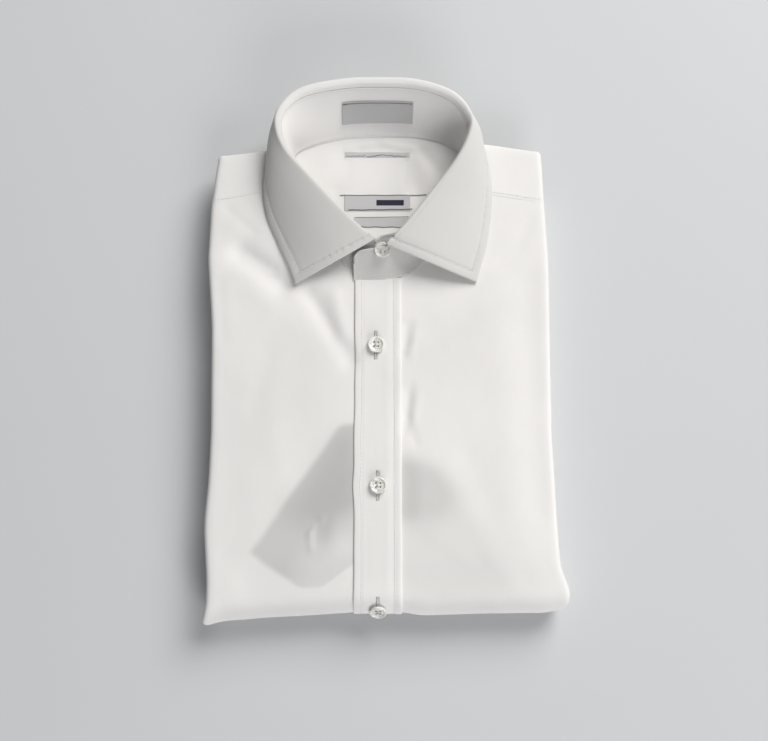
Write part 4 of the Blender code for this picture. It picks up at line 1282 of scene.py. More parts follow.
def make_band():
    """The collar stand, with a stitch trough round its edge."""
    bases, tops = band_pairs()
    up = spaced(22.0, 0.8, rim=(0.0, 0.03, 0.1, 0.2, 0.4, 0.8))[None, :, None]
    points = bases[:, None] + (tops - bases)[:, None] * up
    at_front = smooth((BAND_FLARE_Y - bases[:, 1:2]) / BAND_FLARE_FADE)
    flat_share = BAND_FLARE_BACK + (BAND_FLARE_FRONT - BAND_FLARE_BACK) * at_front
    rise = up[..., 0]
    curve = np.where(rise < flat_share, rise ** 2 / (2 * flat_share), rise - flat_share / 2)
    eased = curve / (1 - flat_share / 2)
    points[..., 2] = bases[:, 2:3] + (tops - bases)[:, 2:3] * eased
    normals = grid_normals(points)
    distance = edge_distance(points)[0]
    trough = -0.18 * np.exp(-((distance - BAND_STITCH) / 0.6) ** 2)
    soft = 0.14 * uneven(points, 22.0, 21)
    points = points + normals * (trough + soft)[..., None]
    seamed = smooth((np.arange(len(points)) < len(points) - TAB_ROWS) * 1.0)[:, None]
    rims = {"l": BAND_TAPER, "r": COLLAR_THICK / 2 + (SQUARE_RIM - COLLAR_THICK / 2) * seamed}
    thing = shell("collar_band", points, COLLAR_THICK, band_shirting(), both_ways=True, rims=rims)
    belongs(thing, "white_cloth", "collar_band")


LEAF_LENGTH = 430.0
LEAF_STEP = 1.25
LEAF_STITCH = 6.0
LEAF_RIM = 0.2
LEAF_TROUGH = 0.42
LEAF_SOFT = 0.22
LEAF_ROLL_TROUGH = 0.45
LEAF_PUCKER = 0.16
LEAF_ROLL_RUN = 2.0
LEAF_CORNER_PUCKER = 1.6


def leaf_grid():
    """The leaf from its seam on the band, over the fold and down to its outer edge."""
    t = spaced(LEAF_LENGTH, LEAF_STEP)
    base, fold, edge = collar_at(t)
    rise = unit(fold - base)
    before = collar_at(np.maximum(t - 0.01, 0))[1]
    after = collar_at(np.minimum(t + 0.01, 1))[1]
    out = unit(np.cross(rise, unit(after - before)))
    end = smooth(np.minimum(t, 1 - t) / 0.07)
    roll = (ROLL_AT_ENDS + (ROLL - ROLL_AT_ENDS) * end)[:, None]
    seam = fold - rise * (seam_drop(t) - SEAM_GAP)
    inside = fold - rise * np.minimum(roll, seam_drop(t) * 0.5)
    crest = fold + out * roll + rise * roll * 0.3
    outside = fold + out * roll * 2 - rise * roll
    run = edge - outside
    swell = unit(np.cross(np.cross(run, out), run))
    parts = [seam, inside, crest, outside]
    for share in (0.33, 0.66):
        parts.append(outside + run * share + swell * LEAF_BULGE * math.sin(math.pi * share))
    parts.append(edge)
    parts = np.stack(parts)
    u = np.concatenate(([0.0, 0.004, 0.012, 0.025], np.linspace(0.05, 0.5, 22), np.linspace(0.52, 0.965, 36),
                        [0.978, 0.989, 0.996, 1.0]))
    columns = [through(parts[:, k], u) for k in range(len(t))]
    return np.stack(columns)


def make_leaf():
    """The fall: pillowed rim, stitch trough and puckers along its free edges."""
    points = leaf_grid()
    normals = -grid_normals(points)
    distance, along = edge_distance(points, "tbr")
    rim = LEAF_RIM * np.sin(np.pi * np.clip(distance / LEAF_STITCH, 0, 1))
    trough = -LEAF_TROUGH * np.exp(-((distance - LEAF_STITCH) / 1.0) ** 2)
    wander = along * 1.35 + 1.7 * np.sin(along * 0.13) + 0.9 * np.sin(along * 0.41)
    grip = np.exp(-((distance - LEAF_STITCH * 0.92) / 2.0) ** 2)
    patchy = 0.5 + 0.5 * uneven(points, 26.0, 31)
    corner = np.exp(-(((points[..., 0] + 24) / 16) ** 2 + ((points[..., 1] - 84) / 14) ** 2))
    patchy = patchy + LEAF_CORNER_PUCKER * corner
    pucker = LEAF_PUCKER * np.sin(wander) * grip * patchy
    soft = LEAF_SOFT * uneven(points, 30.0, 33)
    from_seam = run_lengths(points, 1)
    past_fold = from_seam - (seam_drop(spaced(LEAF_LENGTH, LEAF_STEP)) + LEAF_ROLL_RUN)
    right_front = smooth((np.arange(len(points)) / len(points) - 0.78) / 0.08)[:, None]
    roll_line = -LEAF_ROLL_TROUGH * np.exp(-((past_fold - 1.6) / 0.55) ** 2) * right_front
    points = points + normals * (rim + trough + pucker + soft + roll_line)[..., None]
    thing = shell("collar_leaf", points, COLLAR_THICK, collar_shirting(), flip=True, both_ways=True,
                  rims={"l": SQUARE_RIM})
    belongs(thing, "white_cloth", "collar_leaf")


HIDDEN_ROOM = 1.8
HIDDEN_INSET = 1.6
HIDDEN_CORNER = 8.0


def hidden_outline(layer, inset):
    """Outline of a hidden layer, anticlockwise, with soft waves along its edges."""
    room = EDGE_R - HIDDEN_ROOM
    middle_z = (layer.low + layer.high) / 2
    centre = EDGE_R if middle_z < FOLD_R else STACK - EDGE_R
    level = min(abs(middle_z - centre), room)
    inset = EDGE_R - math.sqrt(room ** 2 - level ** 2) + HIDDEN_INSET + layer.inset + inset
    low_y = FOLD_Y - 4.0
    high_y = layer.end_y - inset * 0.2
    corner = HIDDEN_CORNER
    y = np.linspace(low_y + corner, high_y - corner, 70)
    s = y - FOLD_Y
    edges = {}
    for side in (1, -1):
        levels = (s, np.full_like(s, -math.pi * FOLD_R / 2), -math.pi * FOLD_R - np.maximum(s, 0))
        around = [half_width(side, place) for place in levels]
        wave = 0.5 * np.sin(y * 0.05 + layer.low * 2 + side) + 0.3 * np.sin(y * 0.13 + layer.low)
        edges[side] = np.minimum.reduce(around) - inset - 0.5 + wave * 0.7
    bend = corner * np.exp(1j * np.linspace(0, math.pi / 2, 8))
    right_x, left_x = edges[1] - corner, -edges[-1] + corner
    right_up = [(right_x[-1] + arc.real, y[-1] + arc.imag) for arc in bend[1:]]
    left_up = [(left_x[-1] - arc.imag, y[-1] + arc.real) for arc in bend[:-1]]
    left_low = [(left_x[0] - arc.real, y[0] - arc.imag) for arc in bend[1:]]
    right_low = [(right_x[0] + arc.imag, y[0] - arc.real) for arc in bend[:-1]]
    x_top = np.linspace(right_up[-1][0], left_up[0][0], 50)[1:-1]
    top_wave = 0.8 * np.sin(x_top * 0.045 + layer.low * 3) + 0.4 * np.sin(x_top * 0.12)
    fade = np.minimum(1, np.minimum(np.arange(len(x_top)), np.arange(len(x_top))[::-1]) / 5)
    top = list(zip(x_top, y[-1] + corner + top_wave * fade))
    outline = list(zip(edges[1], y)) + right_up + top + left_up
    outline += list(zip(-edges[-1][::-1], y[::-1])) + left_low + right_low
    return np.array(outline)


def make_hidden_folds():
    """Back, sleeves and tail as folded layers, each of a few plies with rounded edges."""
    for layer in HIDDEN:
        height = layer.high - layer.low
        ply = height / layer.plies
        rings = []
        for index in range(layer.plies):
            shift = 0.9 * math.sin(index * 2.1 + layer.low)
            for turn in np.linspace(-math.pi / 2, math.pi / 2, 7):
                z = layer.low + ply * (index + 0.5 + 0.5 * math.sin(turn) * 0.98)
                inset = ply / 2 * (1 - math.cos(turn)) + 0.5 + shift * 0.5
                outline = hidden_outline(layer, inset)
                rings.append(np.column_stack((outline, np.full(len(outline), z))))
        count = len(rings[0])
        vertices = np.concatenate(rings)
        faces = tube_faces(len(rings), count)
        along = np.concatenate([np.column_stack((np.arange(count) * 3.0, ring[:, 2])) for ring in rings])
        thing = new_object(layer.name, vertices, faces, shirting(), along, smooth_angle=60)
        belongs(thing, "white_cloth", "folded_layers")


# Label colours, by place in the frame

def strip_mask(tree, low_y, high_y, low_x=-1000.0, high_x=1000.0):
    """1 inside a rectangle of the frame's X and Y, in millimetres."""
    axes = frame_axes(tree)
    result = None
    for axis, low, high in (("X", low_x, high_x), ("Y", low_y, high_y)):
        above = math_node(tree, "GREATER_THAN", axes[axis], low * MM)
        below = math_node(tree, "LESS_THAN", axes[axis], high * MM)
        both = math_node(tree, "MULTIPLY", above, below)
        result = both if result is None else math_node(tree, "MULTIPLY", result, both)
    return result


# The main label, from its top: a woven strip, a bare white field and a grey field with a plain block
MAIN_STRIP_LOW = 152.6
MAIN_FIELD_LOW = 124.6
MAIN_BLOCK = Patch(-2.4, 17.0, 117.0, 121.2)


def main_label_grey(tree):
    upper = strip_mask(tree, MAIN_STRIP_LOW, 200.0)
    lower = strip_mask(tree, 0.0, MAIN_FIELD_LOW)
    return math_node(tree, "MAXIMUM", upper, lower)


def main_label_block(tree):
    return strip_mask(tree, MAIN_BLOCK.y0, MAIN_BLOCK.y1, MAIN_BLOCK.x0, MAIN_BLOCK.x1)


def label_level(x, y):
    """Height of a label's upper face on the inner yoke."""
    return inner_yoke_z(x, y) + inner_yoke_lift(x, y) + LABEL_NEAR + LABEL_THICK


def flat_label(name, patch, material, seed, low_field=0.0, high_field=0.0):
    """A label that lies on the inner yoke, with slightly curled ends. Its field's sides lie flush."""
    x = patch.x0 + (patch.x1 - patch.x0) * spaced(patch.x1 - patch.x0, 1.2)[None, :]
    y = patch.y0 + (patch.y1 - patch.y0) * spaced(patch.y1 - patch.y0, 0.9)[:, None]
    x = x + 0 * y
    y = y + 0 * x
    z = label_level(x, y)
    lift = 0.1 * smooth(1 - (x - patch.x0) / 4) + 0.2 * smooth(1 - (patch.x1 - x) / 5)
    if high_field > low_field:
        field = smooth((y - low_field) / 3) * smooth((high_field - y) / 3)
        sink = 0.32 * (smooth(1 - (x - patch.x0) / 8) + smooth(1 - (patch.x1 - x) / 8))
        lift = lift * (1 - field) - sink * field
    ripple = 0.05 * np.sin(x * 0.35 + seed) * np.sin(y * 0.22)
    points = np.stack((x, y, z + lift + ripple), axis=-1)
    thing = shell(name, points, LABEL_THICK, material, rims={"l": 1.6, "r": 1.6, "t": 0.5, "b": 0.5})
    belongs(thing, "label_cloth", name)


def band_label():
    """The label on the inside of the band, at the back of the neck."""
    probe = np.linspace(0.4, 0.6, 201)
    middle = probe[np.argmin(np.abs(collar_at(probe)[0][:, 0] - LABEL_BAND_MIDDLE))]
    t = middle + (spaced(47.0, 1.1) * 2 - 1) * LABEL_BAND_REACH
    base, top = collar_at(t)[0], band_top(t)
    ahead = collar_at(t + 0.004)[0] - collar_at(t - 0.004)[0]
    inward = unit(np.cross(top - base, ahead))
    inward = inward * np.where(inward[:, 1:2] < 0, 1, -1)
    up = LABEL_BAND_LOW + (LABEL_BAND_HIGH - LABEL_BAND_LOW) * spaced(15.5, 0.9)[None, :, None]
    off = COLLAR_THICK / 2 + LABEL_BAND_OFF + LABEL_THICK
    points = base[:, None] + (top - base)[:, None] * up + inward[:, None] * off
    material = label_cloth("band_label_satin", LABEL_BAND_TONE)
    thing = shell("label_band", points, LABEL_THICK, material, flip=True)
    belongs(thing, "label_cloth", "label_band")


def label_cloth(name="label_satin", tone=1.0):
    label = tuple(c * tone for c in bpy.context.scene.shirt_trims.label)
    return fabric(name, label, roughness=0.6, sheen=0.25, weave=0.4, rumple=0.1, pitch=0.0006)


def make_labels():
    trims = bpy.context.scene.shirt_trims
    cloth = bpy.context.scene.shirt_cloth
    main_cloth = fabric(
        "main_label_satin", tuple(cloth.white), roughness=0.62, sheen=0.2, weave=0.4, rumple=0.1,
        pitch=0.0006,
        masks=((main_label_grey, tuple(trims.label)), (main_label_block, tuple(trims.label_block))))
    flat_label("label_main", LABEL_MAIN, main_cloth, 1, MAIN_FIELD_LOW, MAIN_STRIP_LOW)
    flat_label("label_fit", LABEL_FIT, label_cloth(), 2)
    band_label()


def stand(at, normal):
    """A point, and the three directions of a piece on it: across, up the cloth and outwards."""
    up = unit(np.array(normal, dtype=float))
    side = unit(np.array(ACROSS) - up * np.dot(ACROSS, up))
    front = np.cross(up, side)
    return np.array(at, dtype=float), np.stack((side, front, up))


ButtonPoint = namedtuple("ButtonPoint", "radius height")


def button_profile():
    """A turned outline: domed back, round edge, rim and shallow hollow."""
    rim_r = BUTTON_R - BUTTON_RIM
    points = [ButtonPoint(BUTTON_R * 0.55, 0.0), ButtonPoint(BUTTON_R * 0.78, 0.12)]
    for k in range(9):
        turn = -math.pi * 0.42 + k / 8 * math.pi * 0.92
        points.append(ButtonPoint(rim_r + BUTTON_RIM * math.cos(turn),
                                  BUTTON_H - BUTTON_EDGE + BUTTON_EDGE * math.sin(turn)))
    for inwards, down in ((0.5, 0.12), (0.95, 0.5), (1.5, 0.72), (2.1, BUTTON_HOLLOW)):
        points.append(ButtonPoint(rim_r - inwards, BUTTON_H - down))
    return points


def hole_centres():
    return [(dx * HOLE_OFFSET, dy * HOLE_OFFSET) for dx, dy in ((1, 1), (-1, 1), (-1, -1), (1, -1))]


def make_button(name, at, axes, material):
    """A four-hole button. Its floor and back are cut by round holes with walls."""
    sides = bpy.context.scene.shirt_trims.button_sides
    profile = button_profile()
    angles = [2 * math.pi * k / sides for k in range(sides)]
    vertices = [(point.radius * math.cos(angle), point.radius * math.sin(angle), point.height)
                for point in profile for angle in angles]
    thing = new_object(name, vertices, tube_faces(len(profile), sides), material, smooth_angle=40)
    for x, y in hole_centres():
        drill(thing, x, y, profile[-1].height)
    flat = np.empty(len(thing.data.vertices) * 3)
    thing.data.vertices.foreach_get("co", flat)
    moved = flat.reshape(-1, 3) @ axes + at * MM
    thing.data.vertices.foreach_set("co", moved.ravel())
    thing.data.update()
    return thing


def drill(thing, x, y, top):
    """Cuts one round hole through a button."""
    cutter = bpy.data.meshes.new("drill")
    sides = 20
    ring = [(x + HOLE_R * math.cos(2 * math.pi * k / sides), y + HOLE_R * math.sin(2 * math.pi * k / sides))
            for k in range(sides)]
    vertices = [(px * MM, py * MM, z * MM) for z in (-1.0, top + 1.0) for px, py in ring]
    cutter.from_pydata(vertices, [], tube_faces(2, sides))
    tool = add_object("drill", cutter)
    cut = thing.modifiers.new("Hole", "BOOLEAN")
    cut.operation = "DIFFERENCE"
    cut.solver = "EXACT"
    cut.object = tool
    depsgraph = bpy.context.evaluated_depsgraph_get()
    cut_mesh = bpy.data.meshes.new_from_object(thing.evaluated_get(depsgraph))
    old = thing.data
    thing.modifiers.clear()
    thing.data = cut_mesh
    bpy.data.meshes.remove(old)
    bpy.data.objects.remove(tool, do_unlink=True)
    bpy.data.meshes.remove(cutter)


def placket_place(x, s):
    """Where a button lies on the placket, at a distance s above the bottom fold."""
    side = 1 if x > 0 else -1
    lift = PLACKET_GAP + PLACKET_WALL + BUTTON_SEAT
    here = skin(side, np.array(float(s)), np.array(abs(x)), out=lift)
    ahead = skin(side, np.array(float(s) + 2), np.array(abs(x)), out=lift)
    return stand(here, np.cross(ACROSS, ahead - here))


def collar_place():
    """Where the button lies on the band's upper end."""
    last_base, last_top = collar_at(1.0)[0], band_top(1.0)
    over = np.array(OVER_TAB, dtype=float)
    share = (last_base[0] - BUTTON_COLLAR_X) / (last_base[0] - over[0])
    base = last_base + (over[:3] - last_base) * share
    top = last_top + (over[3:] - last_top) * share
    normal = unit(np.cross(last_base - over[:3], top - base))
    normal = normal if normal[2] > 0 else -normal
    up = unit(top - base)
    tilted = normal * math.cos(BUTTON_COLLAR_TILT) + up * math.sin(BUTTON_COLLAR_TILT)
    face = top - up * BUTTON_COLLAR_BELOW + normal * (COLLAR_THICK / 2)
    return stand(face - tilted * (BUTTON_H - BUTTON_COLLAR_PROUD), tilted)


def button_places():
    places = {"button_collar": collar_place()}
    for button in PLACKET_BUTTONS:
        places[button.name] = placket_place(button.x, button.s)
    return places


def make_buttons():
    """Four buttons. The one on the collar is a darker, duller copy of the same resin: painted shade."""
    polished = pearl_material()
    # Painted shade: the collar button's resin is darkened and its polish dulled.
    shaded = pearl_material("pearl_resin_dull", tone=0.78, coat=0.1, roughness=0.45)
    for name, (at, axes) in button_places().items():
        thing = make_button(name, at, axes, shaded if name == "button_collar" else polished)
        belongs(thing, "pearl_button", name)


# Threads and stitches

class ThreadWork:
    """Collects short lengths of thread into one mesh."""

    def __init__(self):
        self.vertices = []
        self.faces = []

    def add(self, path, radius, sides=6):
        """A length of thread through points, closed at both ends by tapering."""
        path = np.asarray(path, dtype=float)
        ahead = unit(np.gradient(path, axis=0))
        helper = np.array((0.0, 0.0, 1.0)) if abs(ahead[0][2]) < 0.9 else np.array((1.0, 0.0, 0.0))
        side = unit(np.cross(ahead, helper))
        up = np.cross(side, ahead)
        start = len(self.vertices)
        count = len(path)
        for k in range(count):
            end = min(k, count - 1 - k)
            here = radius * (0.45 if end == 0 else 1.0)
            for j in range(sides):
                angle = 2 * math.pi * j / sides
                self.vertices.append(path[k] + (side[k] * math.cos(angle) + up[k] * math.sin(angle)) * here)
        self.faces += tube_faces(count, sides, start)

    def stitch_row(self, points, normals, length, gap, radius, sink=0.35):
        """A row of single stitches along a path on the cloth."""
        points, normals = even_steps(points, normals, (length + gap) / 4)
        for k in range(0, len(points) - 4, 4):
            share = length / (length + gap)
            a, b = points[k], points[k] + (points[k + 4] - points[k]) * share
            middle = points[k + 2] * share + points[k] * (1 - share) if share < 0.5 else points[k + 2]
            up = normals[k + 2]
            rise = radius * (1 - sink)
            low = radius * 0.2
            self.add((a - up * low, a + (b - a) * 0.22 + up * rise, middle + up * (rise + radius * 0.35),
                      a + (b - a) * 0.78 + up * rise, b - up * low), radius)

    def finish(self, name, material, slot):
        belongs(new_object(name, np.array(self.vertices), self.faces, material), slot)


def index_at(lengths, value):
    """Fractional index at which a rising row of lengths reaches a value."""
    return np.interp(value, lengths, np.arange(len(lengths)))


def leaf_stitches(work, length, gap, radius):
    """One row along the leaf's free edges."""
    outer, _ = SURFACES["collar_leaf"]
    across = run_lengths(outer, 1)
    down = run_lengths(outer, 0)
    rows, columns = across.shape
    from_edge = across[:, -1:] - across
    fold_column = 24
    low_ends = [columns - 1 - index_at(from_edge[i][::-1], LEAF_STITCH) for i in (0, rows - 1)]
    low_column = int(np.mean(low_ends))
    path = []
    for j in range(fold_column, low_column):
        path.append((index_at(down[:, j], LEAF_STITCH), j))
    first = path[-1][0]
    last_rows = []
    for j in range(fold_column, low_column):
        left = down[-1, j] - down[:, j]
        last_rows.append((rows - 1 - index_at(left[::-1], LEAF_STITCH), j))
    for i in np.arange(math.ceil(first), math.floor(last_rows[-1][0])):
        path.append((i, columns - 1 - index_at(from_edge[i][::-1], LEAF_STITCH)))
    path += last_rows[::-1]
    places = np.array(path, dtype=float)
    work.stitch_row(*on_surface("collar_leaf", places[:, 0], places[:, 1]), length, gap, radius)


def band_stitches(work, length, gap, radius):
    """Rows along the band's lower and upper edge, on both of its sides."""
    across = run_lengths(SURFACES["collar_band"][0], 1)
    for high in (False, True):
        path = []
        for i in range(6, len(across) - 6):
            place = across[i, -1] - BAND_STITCH if high else BAND_STITCH
            path.append((i, index_at(across[i], place)))
        places = np.array(path, dtype=float)
        points, normal = on_surface("collar_band", places[:, 0], places[:, 1])
        work.stitch_row(points, normal, length, gap, radius)
        work.stitch_row(points - normal * COLLAR_THICK, -normal, length, gap, radius)


def placket_stitches(work, length, gap, radius):
    """One row along each long edge of the placket."""
    across = run_lengths(SURFACES["placket"][0], 1)
    for from_left in (True, False):
        path = []
        for i in range(4, len(across) - 4):
            place = PLACKET_STITCH if from_left else across[i, -1] - PLACKET_STITCH
            path.append((i, index_at(across[i], place)))
        places = np.array(path, dtype=float)
        work.stitch_row(*on_surface("placket", places[:, 0], places[:, 1]), length, gap, radius)


def yoke_stitches(work, length, gap, radius):
    """One row beside each front seam of the yoke."""
    for name in ("yoke_right_shoulder", "yoke_left_shoulder"):
        down = run_lengths(SURFACES[name][0], 0)
        path = [(index_at(down[:, j], YOKE_STITCH), j) for j in range(4, down.shape[1] - 3)]
        places = np.array(path, dtype=float)
        work.stitch_row(*on_surface(name, places[:, 0], places[:, 1]), length, gap, radius)


def make_stitching():
    trims = bpy.context.scene.shirt_trims
    length = trims.stitch_length / MM
    gap = trims.stitch_gap / MM
    radius = trims.thread_radius / MM
    white = thread_material("white_thread", tuple(trims.thread))
    for name, rows in (
        ("stitches_leaf", leaf_stitches), ("stitches_band", band_stitches),
        ("stitches_placket", placket_stitches), ("stitches_yoke", yoke_stitches),
    ):
        work = ThreadWork()
        rows(work, length, gap, radius)
        work.finish(name, white, "white_cloth")


BUTTONHOLE_LENGTH = 18.2
BUTTONHOLE_WIDTH = 2.7
# How much darker the buttonhole thread is: painted shade in the buttonholes
BUTTONHOLE_SHADE_TONE = 0.86
BUTTON_THREAD_RISE = 0.22
BUTTON_THREAD_END = 0.9


def satin_hole(work, x, s, radius):
    """A buttonhole on the placket: two rows of close satin stitches with a bar at each end."""
    count = int(BUTTONHOLE_LENGTH / (radius * 1.7))
    half = BUTTONHOLE_WIDTH / 2
    rows = [(x + side * 0.18, x + side * half, s + (k / count - 0.5) * BUTTONHOLE_LENGTH)
            for side in (-1, 1) for k in range(count + 1)]
    rows += [(x - half, x + half, s + end * (BUTTONHOLE_LENGTH / 2 + 0.1 + k * radius * 1.5))
             for end in (-1, 1) for k in range(5)]
    for first, last, level in rows:
        points, normals = on_placket(np.array((first, (first + last) / 2, last)), np.full(3, level))
        points[1] += normals[1] * radius * 1.1
        work.add(points, radius, sides=5)


def make_buttonholes():
    """Vertical buttonholes under the placket's buttons, in a darker thread that is painted shade, and the
    thread through each button.
    """
    trims = bpy.context.scene.shirt_trims
    radius = trims.thread_radius / MM
    white = thread_material("white_thread", tuple(trims.thread))
    darker = thread_material("hole_thread", tuple(c * BUTTONHOLE_SHADE_TONE for c in trims.thread))
    holes = ThreadWork()
    for button in PLACKET_BUTTONS:
        satin_hole(holes, button.x, button.s, radius * 0.8)
    holes.finish("buttonholes", darker, "white_cloth")
    threads = ThreadWork()
    floor = BUTTON_H - BUTTON_HOLLOW
    for at, axes in button_places().values():
        side, up, normal = axes
        for y in (-HOLE_OFFSET, HOLE_OFFSET):
            for slip in (-0.16, 0.16):
                path = []
                for share in np.linspace(0, 1, 7):
                    x = -HOLE_OFFSET + 2 * HOLE_OFFSET * share
                    sink = BUTTON_THREAD_END if share in (0.0, 1.0) else 0.0
                    rise = floor + BUTTON_THREAD_RISE * math.sin(math.pi * share) - sink
                    path.append(at + side * x + up * (y + slip) + normal * rise)
                threads.add(path, radius * 1.15)
    threads.finish("button_threads", white, "white_cloth")


def make_label_threads():
    """Dark tack stitches at the labels' edges."""
    trims = bpy.context.scene.shirt_trims
    radius = trims.thread_radius / MM
    dark = thread_material("label_thread", tuple(trims.dark_thread))
    work = ThreadWork()

    def line(x0, y0, x1, y1, wave, step, thick=1.6):
        count = max(int(math.hypot(x1 - x0, y1 - y0) / step), 1)
        for k in range(count):
            ends = []
            for share in (k / count, (k + 0.42) / count, (k + 0.84) / count):
                x = x0 + (x1 - x0) * share
                y = y0 + (y1 - y0) * share + wave * math.sin(share * 21.0)
                ends.append(np.array((x, y, float(label_level(x, y)) + 0.06)))
            ends[1][2] += 0.12
            work.add(ends, radius * thick, sides=5)

    main, fit = LABEL_MAIN, LABEL_FIT
    line(main.x0 + 1, MAIN_STRIP_LOW + 1.2, main.x0 + 15, MAIN_STRIP_LOW + 1.6, 0.25, 1.6, 1.2)
    line(main.x0 + 16, MAIN_STRIP_LOW + 0.6, main.x0 + 26, MAIN_STRIP_LOW + 2.2, 0.35, 1.3)
    line(main.x0 + 26, MAIN_STRIP_LOW + 2.2, main.x1 - 2, MAIN_STRIP_LOW + 0.9, 0.3, 1.4, 1.3)
    line(main.x0 - 3, MAIN_FIELD_LOW, main.x1 + 12, MAIN_FIELD_LOW + 0.2, 0.12, 1.3, 2.0)
    line(main.x0 + 3, main.y0 + 0.8, main.x1 + 1.5, main.y0 + 1.4, 0.12, 1.3, 2.4)
    line(fit.x0 + 1, fit.y1 - 0.6, fit.x1 - 1, fit.y1 + 0.1, 0.05, 1.9, 1.1)
    line(fit.x0 + 2, fit.y0 + 0.5, fit.x1 - 2, fit.y0 + 0.3, 0.3, 1.6, 1.2)
    rows, columns = SURFACES["label_band"][0].shape[:2]
    for i in np.linspace(2, rows - 5, 34):
        near_end = min(i, rows - 1 - i) < 5
        points, normal = on_surface("label_band", np.array([i, i + 1.1]), np.full(2, columns - 4.6))
        work.add((points[0], (points[0] + points[1]) / 2 + normal[0] * 0.15, points[1]),
                 radius * (2.6 if near_end else 1.6), sides=5)
    work.finish("label_tacks", dark, "label_cloth")


FLOOR_HALF = 2.2
FLOOR_Z = -0.0003
LIGHTS_AIM = (0, 0, 0.02)
EYE = (0.003, -0.1435, 0.6899)
EYE_AIM = (0.003, 0.0, 0.015)


def make_studio():
    """A plain pale floor, soft lights and the camera."""
    studio = bpy.context.scene.shirt_studio
    bpy.context.scene.view_settings.view_transform = "Standard"
    floor = bpy.data.meshes.new("floor")
    corners = ((-1, -1), (1, -1), (1, 1), (-1, 1))
    floor.from_pydata([(x * FLOOR_HALF, y * FLOOR_HALF, FLOOR_Z) for x, y in corners], [], [(0, 1, 2, 3)])
    ground = add_object("floor", floor)
    material, tree, shader = new_material("floor")
    shader.inputs["Roughness"].default_value = 0.8
    place = node(tree, "ShaderNodeTexCoord")
    grain = node(tree, "ShaderNodeTexNoise", in_Scale=7.0, in_Detail=2.0)
    tree.links.new(place.outputs["Object"], grain.inputs["Vector"])
    tint = mix_colours(tree, grain.outputs[0], [c * 0.985 for c in studio.floor], tuple(studio.floor))
    tree.links.new(tint, shader.inputs["Base Color"])
    floor.materials.append(material)

    world = bpy.data.worlds.new("room")
    bpy.context.scene.world = world
    world.use_nodes = True
    sky = world.node_tree.nodes["Background"]
    sky.inputs["Color"].default_value = (0.94, 0.96, 1.0, 1)
    sky.inputs["Strength"].default_value = studio.ambient

    for name, at, size, power, colour in (
        ("key", (1.30, 1.80, 1.90), 1.8, studio.key_power, (1.0, 0.99, 0.97)),
        ("fill", (0.7, -2.25, 1.05), 1.4, studio.fill_power, (0.99, 0.99, 1.0)),
    ):
        light = bpy.data.lights.new(name, "AREA")
        light.shape = "SQUARE"
        light.size = size
        light.energy = power
        light.color = colour
        lamp = add_object(name, light)
        lamp.location = at
        lamp.rotation_euler = (Vector(LIGHTS_AIM) - Vector(at)).to_track_quat("-Z", "Y").to_euler()

    camera = bpy.data.cameras.new("camera")
    camera.lens = studio.lens
    camera.sensor_width = 36.0
    camera.clip_start = 0.01
    viewer = add_object("camera", camera)
    viewer.location = EYE
    viewer.rotation_euler = (Vector(EYE_AIM) - Vector(EYE)).to_track_quat("-Z", "Y").to_euler()
    bpy.context.scene.camera = viewer


class SHIRT_OT_fronts(bpy.types.Operator):
    """Makes both fronts, round their side folds and the bottom fold"""
    bl_idname = "shirt.fronts"
    bl_label = "Fronts"

    def execute(self, context):
        make_fronts()
        return {"FINISHED"}


class SHIRT_OT_placket(bpy.types.Operator):
    """Makes the buttonhole strip"""
    bl_idname = "shirt.placket"
    bl_label = "Placket"

    def execute(self, context):
        make_placket()
        return {"FINISHED"}


class SHIRT_OT_yoke(bpy.types.Operator):
    """Makes the yoke and its inside layer"""
    bl_idname = "shirt.yoke"
    bl_label = "Yoke"

    def execute(self, context):
        make_yoke()
        make_inner_yoke()
        return {"FINISHED"}


class SHIRT_OT_collar(bpy.types.Operator):
    """Makes the collar's band and leaf"""
    bl_idname = "shirt.collar"
    bl_label = "Collar"

    def execute(self, context):
        make_band()
        make_leaf()
        return {"FINISHED"}


class SHIRT_OT_hidden_folds(bpy.types.Operator):
    """Makes the layers that are folded behind the fronts"""
    bl_idname = "shirt.hidden_folds"
    bl_label = "Hidden Folds"

    def execute(self, context):
        make_hidden_folds()
        return {"FINISHED"}


class SHIRT_OT_labels(bpy.types.Operator):
    """Makes the three labels and the stitches that hold them"""
    bl_idname = "shirt.labels"
    bl_label = "Labels"

    def execute(self, context):
        make_labels()
        make_label_threads()
        return {"FINISHED"}


class SHIRT_OT_buttons(bpy.types.Operator):
    """Makes the buttons, their threads and the buttonholes"""
    bl_idname = "shirt.buttons"
    bl_label = "Buttons"

    def execute(self, context):
        make_buttons()
        make_buttonholes()
        return {"FINISHED"}


class SHIRT_OT_stitching(bpy.types.Operator):
    """Makes the rows of stitches on collar, placket and yoke"""
    bl_idname = "shirt.stitching"
    bl_label = "Stitching"

    def execute(self, context):
        make_stitching()
        return {"FINISHED"}


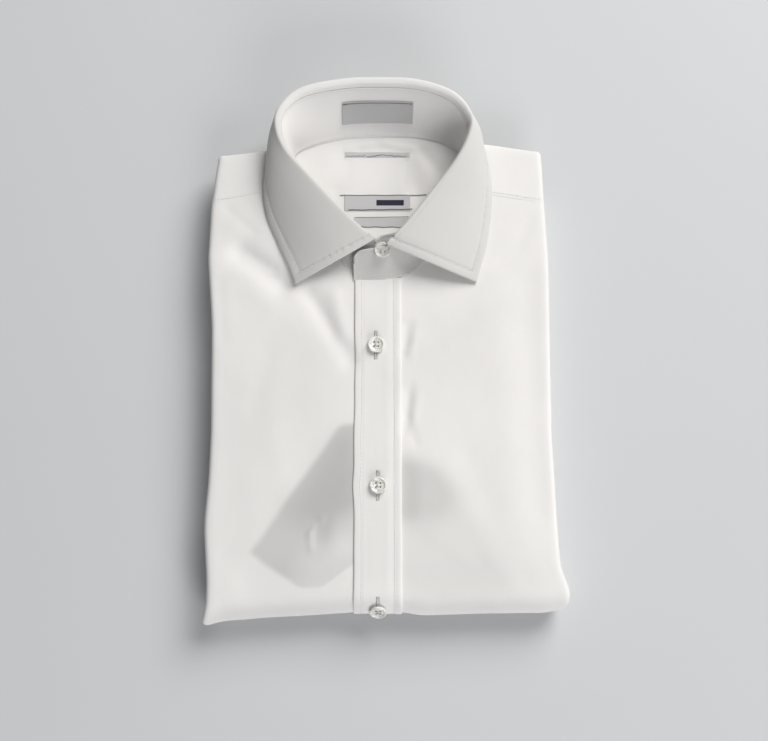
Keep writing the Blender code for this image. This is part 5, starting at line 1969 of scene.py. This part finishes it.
class SHIRT_OT_studio(bpy.types.Operator):
    """Makes the floor, the lights and the camera"""
    bl_idname = "shirt.studio"
    bl_label = "Studio"

    def execute(self, context):
        make_studio()
        return {"FINISHED"}


OPERATORS = (
    SHIRT_OT_hidden_folds, SHIRT_OT_fronts, SHIRT_OT_placket, SHIRT_OT_yoke, SHIRT_OT_collar,
    SHIRT_OT_labels, SHIRT_OT_buttons, SHIRT_OT_stitching, SHIRT_OT_studio,
)


class SHIRT_PT_panel(bpy.types.Panel):
    """The shirt's settings and pieces"""
    bl_idname = "SHIRT_PT_panel"
    bl_label = "Folded Shirt"
    bl_space_type = "VIEW_3D"
    bl_region_type = "UI"
    bl_category = "Shirt"

    def draw(self, context):
        for settings in (context.scene.shirt_cloth, context.scene.shirt_trims, context.scene.shirt_studio):
            box = self.layout.box()
            for key in settings.bl_rna.properties.keys():
                if key not in ("rna_type", "name"):
                    box.prop(settings, key)
        for operator in OPERATORS:
            self.layout.operator(operator.bl_idname)


GROUPS = (ShirtCloth, ShirtTrims, ShirtStudio)


def register():
    for cls in (*GROUPS, *OPERATORS, SHIRT_PT_panel):
        bpy.utils.register_class(cls)
    bpy.types.Scene.shirt_cloth = PointerProperty(type=ShirtCloth)
    bpy.types.Scene.shirt_trims = PointerProperty(type=ShirtTrims)
    bpy.types.Scene.shirt_studio = PointerProperty(type=ShirtStudio)


def unregister():
    for key in ("shirt_cloth", "shirt_trims", "shirt_studio"):
        delattr(bpy.types.Scene, key)
    for cls in reversed((*GROUPS, *OPERATORS, SHIRT_PT_panel)):
        bpy.utils.unregister_class(cls)


def write_sizes():
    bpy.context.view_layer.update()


def main():
    register()
    bpy.ops.shirt.hidden_folds()
    bpy.ops.shirt.fronts()
    bpy.ops.shirt.placket()
    bpy.ops.shirt.yoke()
    bpy.ops.shirt.collar()
    bpy.ops.shirt.labels()
    bpy.ops.shirt.buttons()
    bpy.ops.shirt.stitching()
    bpy.ops.shirt.studio()
    write_sizes()


if __name__ == "__main__":
    main()
